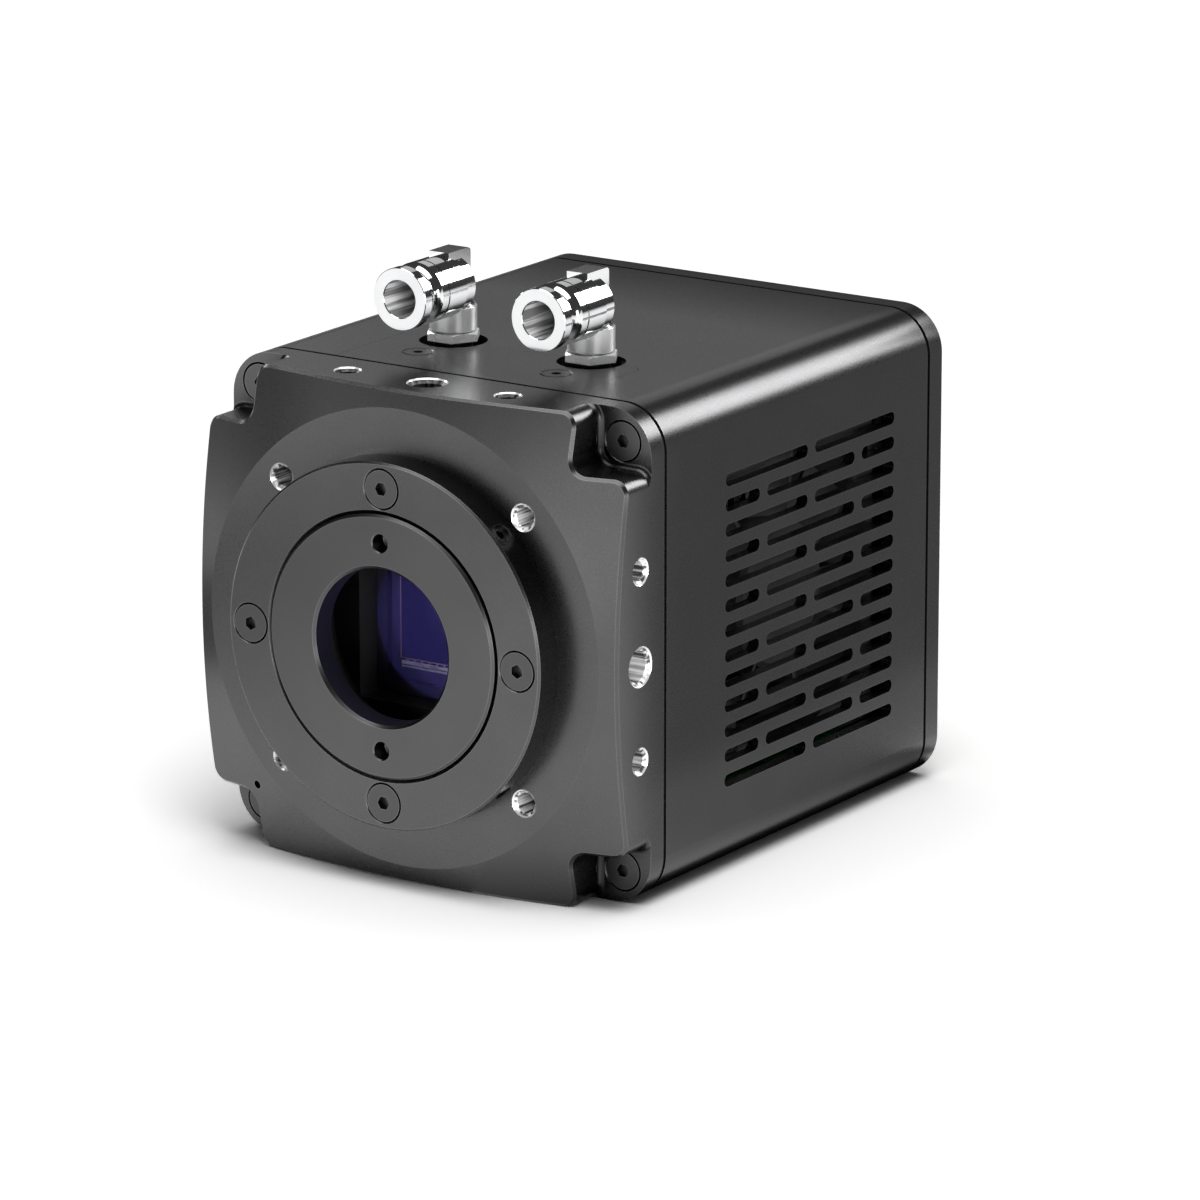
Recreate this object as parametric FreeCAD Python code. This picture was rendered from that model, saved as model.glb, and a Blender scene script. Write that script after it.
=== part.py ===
import FreeCAD, Part
import math
import os

# Cooled scientific camera, in millimetres. +Z is up and the lens opening faces -Y.
# The origin lies on the optical axis, in the plane of the mount ring's front face.

V = FreeCAD.Vector

# Body
BODY = 80.0
CORNER_R = 7.5
WALL = 2.0
GASKET_T = 0.8
GASKET_INSET = 0.35
GASKET_OPENING = 29.5
GASKET_OPENING_R = 3.0
PLATE_BACK = 19.35
SHELL_LENGTH = 77.6
REAR_PLATE_T = 4.2
EDGE_BEVEL = 0.45

# Front plate
FLAT_Y = 5.42
FLAT_R = 37.2
CONE_SLOPE = 0.30
POCKET_WALL = 30.4
POCKET_FLOOR = 15.82
POCKET_INNER_R = 2.75
POCKET_LIP_R = 2.5
POCKET_BLEND = 1.0
FRONT_HOLE_AT = 23.08
SIDE_HOLE_Y = 12.74
SIDE_HOLE_PITCH = 15.29
TAP_BORE_R = 1.65
TAP_MOUTH_R = 2.3
TAP_DEPTH = 7.0
TRIPOD_BORE_R = 2.6
TRIPOD_MOUTH_R = 3.33
TRIPOD_DEPTH = 8.5
PIN_HOLE_R = 0.7
PIN_HOLE_AT = (-29.5, -29.0)
PIN_HOLE_DEPTH = 3.0

# Lens mount
RING_R = 29.75
RING_BORE_R = 21.5
RING_SCREW_R = 25.5
SET_SCREW_Y = 2.7
SET_SCREW_R = 1.5
SET_SCREW_SUNK = 0.6
SET_SCREW_OFF = 0.35
SET_SOCKET_AF = 1.5
SET_SOCKET_DEPTH = 1.5
INSERT_R = 21.4
INSERT_FRONT = -0.5
INSERT_BACK = 4.4
LENS_BORE_R = 12.7
LENS_BEVEL = 0.45
SPANNER_HOLE_AT = 16.85
SPANNER_HOLE_R = 1.6
SPANNER_HOLE_DEPTH = 3.0

# Window and sensor stack, at the flange distance of this lens mount
FLANGE_DISTANCE = 17.526
THROAT_R = 19.4
WINDOW_R = 18.8
WINDOW_Y = (8.2, 10.2)
RETAINER_T = 2.0
RETAINER_CLEAR_R = 16.5
RETAINER_SLOT_W = 1.5
RETAINER_SLOT_DEPTH = 1.0
SEAL_R = 18.4
SEAL_EDGE = 0.5
SENSOR_FRAME_R = 27.2
SENSOR_FRAME_Y = (12.0, 20.4)
FRAME_OPENING = 12.9
PACKAGE_HALF = 12.6
PACKAGE_FRONT = 16.4
CAVITY_HALF = 10.6
DIE_HALF = 8.5
DIE_T = 0.7
BOARD_T = 1.6
SENSOR_BOARD_HALF = 28.5
COLD_BLOCK_HALF = 10.0
COOLER_Y = (25.0, 28.6)
COOLER_HALF = 15.0
COOLER_PLATE_T = 0.8
PELLET_AT = (-12.0, -6.0, 0.0, 6.0, 12.0)
PELLET_HALF = 1.0
POST_AT = 21.0
POST_R = 2.5

# Screws
M3_R = 1.5
M3_HEAD_R = 3.05
M25_R = 1.25
M25_HEAD_R = 2.3
HEAD_RIM = 0.35
CORNER_SCREW_AT = 34.73
CORNER_SCREW_LENGTH = 12.0
RING_SCREW_LENGTH = 8.5
PANEL_SCREW_LENGTH = 6.0
BOSS_R = 4.6

# Vents
VENT_ROWS = 13
VENT_PITCH = 4.1
SLOT_H = 2.1
SLOT_WEB = 2.15
VENT_Y = (37.0, 87.55)
END_SLOT = 10.0

# Port panel and fittings
PANEL_HALF = 22.8
PANEL_GAP = 0.1
PANEL_CORNER_R = 1.5
PANEL_SCREW_Y = 29.15
PORT_X = 13.28
PORT_Y = 39.06
PORT_HOLE_R = 5.55
STUD_SEAT_Z = 34.0
STUD_SEAL_T = 0.6
STUD_SEAL_R = 4.75
STUD_THREAD_R = 2.5
STUD_NECK_R = 3.2
STUD_TIP_Z = 27.0
HEX_AF = 8.0
HEX_Z = (40.3, 41.7)
HEX_BEVEL = 0.3
SPINDLE_R = 2.2
SPINDLE_TOP = 45.6
STUD_BORE_R = 1.25
RUNNING_GAP = 0.05
SLEEVE_R = 3.83
SLEEVE_Z = (41.9, 46.5)
SLEEVE_BEVEL = 0.75
SOCKET_Z = 49.5
SOCKET_R = 5.1
SOCKET_STEP_R = 4.7
SOCKET_GROOVE_R = 4.75
SOCKET_NOSE_R = 4.1
SOCKET_BORE_R = 3.75
NOSE_Y = 27.3
LIP_Y = (29.05, 30.65)
GROOVE_END_Y = 31.0
STEP_Y = 36.2
SOCKET_BACK = 39.1
CHANNEL_R = 1.75
GRIP_HALF = 1.95
GRIP_Y = (35.05, 41.2)
GRIP_TOP = 55.15
GRIP_ROUND = 0.7
COLLAR_FRONT = 24.1
COLLAR_FLANGE_T = 1.95
COLLAR_END = 33.2
TUBE_R = 3.05
TUBE_SEAL_Y = (34.6, 36.2)
TUBE_SEAL_R = 3.1

# Heat exchanger and fan
EXCHANGER_HALF = 26.0
EXCHANGER_Y = (28.6, 44.0)
EXCHANGER_Z = (-26.0, 38.0)
FIN_END = 86.0
FIN_T = 1.2
FIN_PITCH = 4.0
THICK_FIN_T = 5.0
WATER_R = 2.1
WATER_LOW_Z = -18.0
FAN_SIZE = 50.0
FAN_T = 10.0
FAN_CORNER_R = 3.0
FAN_OPENING_R = 24.2
FAN_HOLE_AT = 20.0
FAN_HUB_R = 12.4
FAN_HUB_X = (29.2, 34.5)
FAN_BASE_T = 2.8
FAN_TIP_R = 23.2
FAN_BLADES = 7
BLADE_ROOT = (6.4, 50)
BLADE_TIP = (8.6, 30)
BLADE_T = 0.7
FAN_STRUTS = 4
FAN_SHAFT_R = 1.0
FAN_SCREW_LENGTH = 14.0
FAN_HEAD_R = 2.6
FAN_HEAD_H = 1.6
FAN_SOCKET_AF = 2.0
FAN_SOCKET_DEPTH = 1.0

# Boards and rear ports
REAR_BOARD_Y = 89.4
REAR_BOARD_HALF = (34.0, 29.0)
MAIN_BOARD_TOP = -27.4
MAIN_BOARD_HALF_X = 34.0
MAIN_BOARD_Y = (46.0, 89.0)
MAIN_POST_AT = ((-25.0, 50.0), (25.0, 50.0), (-25.0, 84.0), (25.0, 84.0))
REAR_POST_AT = (26.0, 24.0)
CONNECTOR_X = (12.0, 33.0)
CONNECTOR_DEPTH = 2.0
CONNECTOR_H = 7.0
CONTACT_PITCH = 1.27
CONTACT_COUNT = 16
CONTACT_GROOVE_W = 0.6
CONTACT_GROOVE_DEPTH = 0.5
CONTACT_MARGIN = 0.9
HEADER_X = (29.5, 33.5)
HEADER_Z = (16.5, 24.5)
HEADER_DEPTH = 3.5
HEADER_WALL = 0.5
HEADER_FLOOR_T = 1.0
HEADER_PIN_Z = (-3.0, -1.0, 1.0, 3.0)
HEADER_PIN_HALF = 0.25
HEADER_PIN_SUNK = 0.4
HEADER_KEY_HALF = 1.0
DATA_PORT_Z = -14.0
DATA_BLOCK_HALF = (6.0, 5.5)
DATA_MOUTH_HALF = (4.25, 3.9)
DATA_CORNER = 1.6
DATA_DEPTH = 8.6
DATA_TONGUE_HALF = (2.85, 1.6)
DATA_TONGUE_SUNK = 1.2
POWER_PORT = (22.0, -14.0)
POWER_BODY_R = 4.5
POWER_COLLAR_R = 6.0
POWER_COLLAR_T = 1.6
POWER_BORE_R = 3.2
POWER_DEPTH = 8.0
POWER_PIN_R = 1.0
POWER_PIN_SUNK = 1.0
TRIGGER_X = (-21.0, -7.0, 7.0, 21.0)
TRIGGER_Z = 10.0
TRIGGER_THREAD_R = 3.175
TRIGGER_BODY_R = 4.0
TRIGGER_END = 112.0
TRIGGER_BORE_R = 2.3
TRIGGER_DEPTH = 5.0
TRIGGER_PIN_R = 0.65
TRIGGER_PIN_SUNK = 2.0
TRIGGER_NUT_AF = 9.0
TRIGGER_NUT_T = 2.0
TRIGGER_NUT_BEVEL = 0.4
STATUS_LIGHT = (0.0, 25.0)
STATUS_LIGHT_R = 1.5
STATUS_LIGHT_OUT = 0.5
PORT_CLEARANCE = 0.1

HALF = BODY / 2
SHELL_FRONT = PLATE_BACK + GASKET_T
SHELL_BACK = SHELL_FRONT + SHELL_LENGTH
REAR_FRONT = SHELL_BACK + GASKET_T
REAR_BACK = REAR_FRONT + REAR_PLATE_T
DATA_FACE = REAR_BACK - 0.4
INSIDE = HALF - WALL
DIE_FACE = INSERT_FRONT + FLANGE_DISTANCE
CAVITY_FLOOR = DIE_FACE + DIE_T
PACKAGE_BACK = SENSOR_FRAME_Y[1]
FAN_Y = (VENT_Y[0] + VENT_Y[1]) / 2
FAN_X = (EXCHANGER_HALF, EXCHANGER_HALF + FAN_T)
QUARTER_TURNS = (0, 90, 180, 270)
SIDES = {"left": -1, "right": 1}
CORNERS = [(a, b) for a in (-1, 1) for b in (-1, 1)]

nodes = {}


def box(x, y, z):
    return Part.makeBox(x[1] - x[0], y[1] - y[0], z[1] - z[0], V(x[0], y[0], z[0]))


def placed(shape, at, along):
    shape.Placement = FreeCAD.Placement(V(*at), FreeCAD.Rotation(V(0, 0, 1), V(*along)))
    return shape


def rod(radius, at, along, length):
    return placed(Part.makeCylinder(radius, length), at, along)


def hexagon(across_flats, at, along, length):
    corner_r = across_flats / math.sqrt(3)
    angles = [k * math.pi / 3 for k in range(7)]
    points = [V(corner_r * math.cos(a), corner_r * math.sin(a), 0) for a in angles]
    return placed(Part.Face(Part.makePolygon(points)).extrude(V(0, 0, length)), at, along)


def outline(steps):
    """Closed wire in the XZ plane. A step is a point, or a (middle, end) pair of points for an arc."""
    here = V(steps[0][0], 0, steps[0][1])
    edges = []
    for step in steps[1:] + steps[:1]:
        if isinstance(step[0], tuple):
            middle, end = [V(a, 0, b) for a, b in step]
            edges.append(Part.Arc(here, middle, end).toShape())
        else:
            end = V(step[0], 0, step[1])
            edges.append(Part.LineSegment(here, end).toShape())
        here = end
    return Part.Wire(edges)


def turned(steps, at=(0, 0, 0), along=(0, 1, 0)):
    """Solid of revolution: steps are (radius, distance along the axis)."""
    solid = Part.Face(outline(steps)).revolve(V(0, 0, 0), V(0, 0, 1), 360)
    if solid.Volume < 0:
        solid.reverse()
    return placed(solid, at, along)


def bevelled_hexagon(across_flats, at, along, length, bevel):
    """Hexagon whose far corners are turned off."""
    corner_r = across_flats / math.sqrt(3)
    cone = [(0, 0), (corner_r, 0), (corner_r, length - bevel), (across_flats / 2, length), (0, length)]
    return hexagon(across_flats, at, along, length).common(turned(cone, at, along))


def prism(steps, y):
    solid = Part.Face(outline(steps)).extrude(V(0, y[1] - y[0], 0))
    solid.translate(V(0, y[0], 0))
    return solid


def edges_along(block, axis):
    """Edges of a block that run along the axis "x", "y" or "z"."""
    return [e for e in block.Edges if abs(getattr(e.tangentAt(e.FirstParameter), axis)) > 0.9]


def square(half, radius, y):
    """Square block about the Y axis with rounded long edges."""
    block = box((-half, half), y, (-half, half))
    return block.makeFillet(radius, edges_along(block, "y"))


def around_y(shape, angle):
    copy = shape.copy()
    copy.rotate(V(0, 0, 0), V(0, 1, 0), angle)
    return copy


def four_turns(shape):
    return [around_y(shape, angle) for angle in QUARTER_TURNS]


def flat_screw(at, into, head_r, shank_r, length):
    cone_end = HEAD_RIM + head_r - shank_r
    steps = [(0, 0), (head_r, 0), (head_r, HEAD_RIM), (shank_r, cone_end), (shank_r, length), (0, length)]
    socket_af = 0.65 * head_r
    socket = hexagon(socket_af, at, into, 0.6 * cone_end)
    return turned(steps, at, into).cut(socket)


def flat_screw_hole(at, into, head_r, shank_r, depth):
    cone_end = HEAD_RIM + head_r - shank_r
    lift = 1.0
    mouth_r = head_r + HEAD_RIM + lift
    steps = [(0, -lift), (mouth_r, -lift), (shank_r, cone_end), (shank_r, depth), (0, depth)]
    return turned(steps, at, into)


def tapped_hole(at, into, bore_r, mouth_r, depth):
    """Blind hole with a 45 degree mouth and a drilled point."""
    lift = 0.5
    steps = [
        (0, -lift), (mouth_r + lift, -lift), (bore_r, mouth_r - bore_r),
        (bore_r, depth), (0, depth + bore_r / 2),
    ]
    return turned(steps, at, into)


def corner_screw_points(y):
    return [(a * CORNER_SCREW_AT, y, b * CORNER_SCREW_AT) for a, b in CORNERS]


def corner_pocket():
    """Cutter for the top right corner: an S-shaped wall and a blended floor."""
    wall = POCKET_WALL
    turn = wall + POCKET_INNER_R
    lip = wall - POCKET_LIP_R
    straight = HALF - POCKET_LIP_R
    beyond = HALF + 6
    inner_mid = turn - POCKET_INNER_R * math.sqrt(0.5)
    lip_near = lip + POCKET_LIP_R * math.sqrt(0.5)
    lip_far = straight + POCKET_LIP_R * math.sqrt(0.5)
    steps = [
        (lip, HALF),
        ((lip_near, lip_far), (wall, straight)),
        (wall, turn),
        ((inner_mid, inner_mid), (turn, wall)),
        (straight, wall),
        ((lip_far, lip_near), (HALF, lip)),
        (beyond, lip),
        (beyond, beyond),
        (lip, beyond),
    ]
    cutter = prism(steps, (0, POCKET_FLOOR))
    floor_edges = []
    for edge in cutter.Edges:
        ends = [vertex.Point for vertex in edge.Vertexes]
        on_floor = all(abs(p.y - POCKET_FLOOR) < 0.01 for p in ends)
        inside = all(max(p.x, p.z) < HALF + 0.01 for p in ends)
        if on_floor and inside:
            floor_edges.append(edge)
    return cutter.makeFillet(POCKET_BLEND, floor_edges)


def front_plate():
    reach = 2 * HALF
    cone_back = FLAT_Y + CONE_SLOPE * (reach - FLAT_R)
    face = [(0, FLAT_Y), (FLAT_R, FLAT_Y), (reach, cone_back), (reach, PLATE_BACK), (0, PLATE_BACK)]
    plate = turned(face).common(square(HALF, CORNER_R, (0, PLATE_BACK)))
    for cutter in four_turns(corner_pocket()):
        plate = plate.cut(cutter)
    rim = []
    for edge in plate.Edges:
        middle = edge.valueAt((edge.FirstParameter + edge.LastParameter) / 2)
        radius = math.hypot(middle.x, middle.z)
        if radius > FLAT_R + 1 and abs(middle.y - FLAT_Y - CONE_SLOPE * (radius - FLAT_R)) < 0.02:
            rim.append(edge)
    plate = plate.makeChamfer(EDGE_BEVEL, rim)
    cuts = [rod(THROAT_R, (0, 0, 0), (0, 1, 0), SENSOR_FRAME_Y[0])]
    cuts.append(rod(SENSOR_FRAME_R + 0.1, (0, SENSOR_FRAME_Y[0], 0), (0, 1, 0), PLATE_BACK))
    for a, b in CORNERS:
        at = (a * FRONT_HOLE_AT, FLAT_Y, b * FRONT_HOLE_AT)
        cuts.append(tapped_hole(at, (0, 1, 0), TAP_BORE_R, TAP_MOUTH_R, TAP_DEPTH))
    row = [tapped_hole((0, SIDE_HOLE_Y, HALF), (0, 0, -1), TRIPOD_BORE_R, TRIPOD_MOUTH_R, TRIPOD_DEPTH)]
    for x in (-SIDE_HOLE_PITCH, SIDE_HOLE_PITCH):
        row.append(tapped_hole((x, SIDE_HOLE_Y, HALF), (0, 0, -1), TAP_BORE_R, TAP_MOUTH_R, TAP_DEPTH))
    for hole in row:
        cuts.extend(four_turns(hole))
    for at in corner_screw_points(POCKET_FLOOR):
        cuts.append(flat_screw_hole(at, (0, 1, 0), M3_HEAD_R, M3_R, CORNER_SCREW_LENGTH))
    for angle in QUARTER_TURNS:
        hole = rod(M3_R, (0, FLAT_Y, RING_SCREW_R), (0, 1, 0), RING_SCREW_LENGTH - FLAT_Y + 1)
        cuts.append(around_y(hole, angle))
    cuts.append(rod(PIN_HOLE_R, (PIN_HOLE_AT[0], FLAT_Y, PIN_HOLE_AT[1]), (0, 1, 0), PIN_HOLE_DEPTH + 2))
    return plate.cut(cuts)


def mount_ring():
    bevel = 0.35
    mouth = 0.5
    steps = [
        (RING_BORE_R + mouth, 0), (RING_R - bevel, 0), (RING_R, bevel),
        (RING_R, FLAT_Y), (RING_BORE_R, FLAT_Y), (RING_BORE_R, mouth),
    ]
    ring = turned(steps)
    screw_hole = flat_screw_hole((0, 0, RING_SCREW_R), (0, 1, 0), M3_HEAD_R, M3_R, FLAT_Y + 1)
    set_hole = rod(SET_SCREW_R, (0, SET_SCREW_Y, 0), (1, 0, 1), RING_R + 1)
    return ring.cut(four_turns(screw_hole) + four_turns(set_hole))


def set_screws():
    outer = (RING_R - SET_SCREW_SUNK) * math.sqrt(0.5)
    tip = (INSERT_R + SET_SCREW_OFF) * math.sqrt(0.5)
    length = RING_R - SET_SCREW_SUNK - INSERT_R - SET_SCREW_OFF
    screw = rod(SET_SCREW_R, (tip, SET_SCREW_Y, tip), (1, 0, 1), length)
    socket = hexagon(SET_SOCKET_AF, (outer, SET_SCREW_Y, outer), (-1, 0, -1), SET_SOCKET_DEPTH)
    return Part.makeCompound(four_turns(screw.cut(socket)))


def c_mount_insert():
    rim = 0.4
    steps = [
        (LENS_BORE_R + LENS_BEVEL, INSERT_FRONT), (INSERT_R - rim, INSERT_FRONT),
        (INSERT_R, INSERT_FRONT + rim), (INSERT_R, INSERT_BACK),
        (LENS_BORE_R + LENS_BEVEL, INSERT_BACK), (LENS_BORE_R, INSERT_BACK - LENS_BEVEL),
        (LENS_BORE_R, INSERT_FRONT + LENS_BEVEL),
    ]
    insert = turned(steps)
    wall_r = SPANNER_HOLE_R - 0.15
    for z in (-SPANNER_HOLE_AT, SPANNER_HOLE_AT):
        at = (0, INSERT_FRONT, z)
        insert = insert.cut(tapped_hole(at, (0, 1, 0), wall_r, SPANNER_HOLE_R, SPANNER_HOLE_DEPTH))
    return insert


def window_parts():
    front, back = WINDOW_Y
    nodes["window_glass"] = rod(WINDOW_R, (0, front, 0), (0, 1, 0), back - front)
    face = front - RETAINER_T
    steps = [(RETAINER_CLEAR_R, face), (WINDOW_R, face), (WINDOW_R, front), (RETAINER_CLEAR_R, front)]
    half_w = RETAINER_SLOT_W / 2
    spanner_slot = box((-WINDOW_R, WINDOW_R), (face, face + RETAINER_SLOT_DEPTH), (-half_w, half_w))
    nodes["window_retainer"] = turned(steps).cut(spanner_slot)
    end = SENSOR_FRAME_Y[0]
    inner = SEAL_R - (end - back) / 2
    outer = SEAL_R + (end - back) / 2
    edge = SEAL_EDGE
    section = [
        (inner + edge, back), (outer - edge, back), (outer, back + edge), (outer, end - edge),
        (outer - edge, end), (inner + edge, end), (inner, end - edge), (inner, back + edge),
    ]
    nodes["window_seal"] = turned(section)


def thermoelectric_cooler():
    """Two ceramic plates with a grid of pellets between them."""
    span = (-COOLER_HALF, COOLER_HALF)
    cold, hot = COOLER_Y
    pellet_y = (cold + COOLER_PLATE_T, hot - COOLER_PLATE_T)
    pieces = [box(span, (pellet_y[1], hot), span)]
    for x in PELLET_AT:
        for z in PELLET_AT:
            wide = (x - PELLET_HALF, x + PELLET_HALF)
            pieces.append(box(wide, pellet_y, (z - PELLET_HALF, z + PELLET_HALF)))
    return box(span, (cold, pellet_y[0]), span).fuse(pieces)


def sensor_parts():
    frame_t = SENSOR_FRAME_Y[1] - SENSOR_FRAME_Y[0]
    frame = rod(SENSOR_FRAME_R, (0, SENSOR_FRAME_Y[0], 0), (0, 1, 0), frame_t)
    nodes["sensor_frame"] = frame.cut(square(FRAME_OPENING, 1.0, SENSOR_FRAME_Y))
    package = square(PACKAGE_HALF, 0.5, (PACKAGE_FRONT, PACKAGE_BACK))
    nodes["sensor_package"] = package.cut(square(CAVITY_HALF, 0.4, (PACKAGE_FRONT, CAVITY_FLOOR)))
    nodes["sensor_die"] = box((-DIE_HALF, DIE_HALF), (DIE_FACE, CAVITY_FLOOR), (-DIE_HALF, DIE_HALF))
    board_y = (PACKAGE_BACK, PACKAGE_BACK + BOARD_T)
    board = square(SENSOR_BOARD_HALF, 3.0, board_y)
    nodes["sensor_board"] = board.cut(square(COLD_BLOCK_HALF + 0.4, 1.0, board_y))
    nodes["cold_block"] = square(COLD_BLOCK_HALF, 1.0, (PACKAGE_BACK, COOLER_Y[0]))
    nodes["thermoelectric_cooler"] = thermoelectric_cooler()
    length = EXCHANGER_Y[0] - board_y[1]
    posts = [rod(POST_R, (a * POST_AT, board_y[1], b * POST_AT), (0, 1, 0), length) for a, b in CORNERS]
    nodes["cooler_posts"] = Part.makeCompound(posts)


def gasket(y):
    frame = square(HALF - GASKET_INSET, CORNER_R - GASKET_INSET, y)
    frame = frame.cut(square(GASKET_OPENING, GASKET_OPENING_R, y))
    holes = [rod(M3_R, at, (0, 1, 0), GASKET_T) for at in corner_screw_points(y[0])]
    return frame.cut(holes)


def slot_spans(row):
    """Y spans of the slots in one vent row; rows alternate between two and three slots."""
    start, end = VENT_Y
    if row % 2 == 0:
        middle = (start + end) / 2
        return [(start, middle - SLOT_WEB / 2), (middle + SLOT_WEB / 2, end)]
    inner = (start + END_SLOT + SLOT_WEB, end - END_SLOT - SLOT_WEB)
    return [(start, start + END_SLOT), inner, (end - END_SLOT, end)]


def vent_cutters():
    cutters = []
    r = SLOT_H / 2
    top = VENT_PITCH * (VENT_ROWS - 1) / 2
    for row in range(VENT_ROWS):
        z = top - row * VENT_PITCH
        for start, end in slot_spans(row):
            points = [V(0, start + r, z - r), V(0, start, z), V(0, start + r, z + r)]
            far = [V(0, end - r, z + r), V(0, end, z), V(0, end - r, z - r)]
            edges = [
                Part.Arc(*points).toShape(), Part.LineSegment(points[2], far[0]).toShape(),
                Part.Arc(*far).toShape(), Part.LineSegment(far[2], points[0]).toShape(),
            ]
            face = Part.Face(Part.Wire(edges))
            for x in (-HALF - 1, INSIDE - 1):
                cutter = face.extrude(V(WALL + 2, 0, 0))
                cutter.translate(V(x, 0, 0))
                cutters.append(cutter)
    return cutters


def panel_plan(half, corner_r, z):
    """Port panel block: open to the shell's front edge, rounded at its rear corners."""
    block = box((-half, half), (SHELL_FRONT, PORT_Y + half - PANEL_HALF), z)
    rear = [e for e in edges_along(block, "z") if e.Vertexes[0].Y > PORT_Y - 1]
    return block.makeFillet(corner_r, rear)


def port_holes(z):
    return [rod(PORT_HOLE_R, (s * PORT_X, PORT_Y, z[0]), (0, 0, 1), z[1] - z[0]) for s in SIDES.values()]


def shell():
    tube = square(HALF, CORNER_R, (SHELL_FRONT, SHELL_BACK))
    hollow = square(INSIDE, CORNER_R - WALL, (SHELL_FRONT - 1, SHELL_BACK + 1))
    bosses = [rod(BOSS_R, at, (0, 1, 0), SHELL_LENGTH + 4) for at in corner_screw_points(SHELL_FRONT - 2)]
    cuts = [hollow.cut(bosses)]
    for at in corner_screw_points(SHELL_FRONT - 1):
        cuts.append(rod(M3_R, at, (0, 1, 0), CORNER_SCREW_LENGTH))
    for at in corner_screw_points(SHELL_BACK + 1):
        cuts.append(rod(M3_R, at, (0, -1, 0), CORNER_SCREW_LENGTH))
    cuts.append(panel_plan(PANEL_HALF + PANEL_GAP, PANEL_CORNER_R, (INSIDE - 1, HALF + 1)))
    cuts.extend(port_holes((INSIDE - 1, HALF + 1)))
    return tube.cut(cuts).cut(vent_cutters())


def port_panel():
    panel = panel_plan(PANEL_HALF, PANEL_CORNER_R, (INSIDE, HALF))
    cuts = port_holes((INSIDE - 1, HALF + 1))
    for side in SIDES.values():
        at = (side * PORT_X, PANEL_SCREW_Y, HALF)
        cuts.append(flat_screw_hole(at, (0, 0, -1), M25_HEAD_R, M25_R, PANEL_SCREW_LENGTH))
    return panel.cut(cuts)


def corner_screws(y, into):
    points = corner_screw_points(y)
    screws = [flat_screw(at, into, M3_HEAD_R, M3_R, CORNER_SCREW_LENGTH) for at in points]
    return Part.makeCompound(screws)


def screws_and_gaskets():
    ring_screw = flat_screw((0, 0, RING_SCREW_R), (0, 1, 0), M3_HEAD_R, M3_R, RING_SCREW_LENGTH)
    nodes["ring_screws"] = Part.makeCompound(four_turns(ring_screw))
    nodes["set_screws"] = set_screws()
    nodes["front_corner_screws"] = corner_screws(POCKET_FLOOR, (0, 1, 0))
    nodes["rear_corner_screws"] = corner_screws(REAR_BACK, (0, -1, 0))
    panel = []
    for side in SIDES.values():
        at = (side * PORT_X, PANEL_SCREW_Y, HALF)
        panel.append(flat_screw(at, (0, 0, -1), M25_HEAD_R, M25_R, PANEL_SCREW_LENGTH))
    nodes["panel_screws"] = Part.makeCompound(panel)
    nodes["front_gasket"] = gasket((PLATE_BACK, SHELL_FRONT))
    nodes["rear_gasket"] = gasket((SHELL_BACK, REAR_FRONT))


def stud(x):
    seat = STUD_SEAT_Z + STUD_SEAL_T
    low, top = HEX_Z
    steps = [
        (STUD_BORE_R, STUD_TIP_Z), (STUD_THREAD_R, STUD_TIP_Z), (STUD_THREAD_R, seat),
        (STUD_NECK_R, seat), (STUD_NECK_R, top), (SPINDLE_R, top),
        (SPINDLE_R, SPINDLE_TOP), (STUD_BORE_R, SPINDLE_TOP),
    ]
    nut = bevelled_hexagon(HEX_AF, (x, PORT_Y, low), (0, 0, 1), top - low, HEX_BEVEL)
    nut = nut.cut(rod(STUD_BORE_R, (x, PORT_Y, 0), (0, 0, 1), SPINDLE_TOP))
    return turned(steps, (x, PORT_Y, 0), (0, 0, 1)).fuse(nut).removeSplitter()


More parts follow.
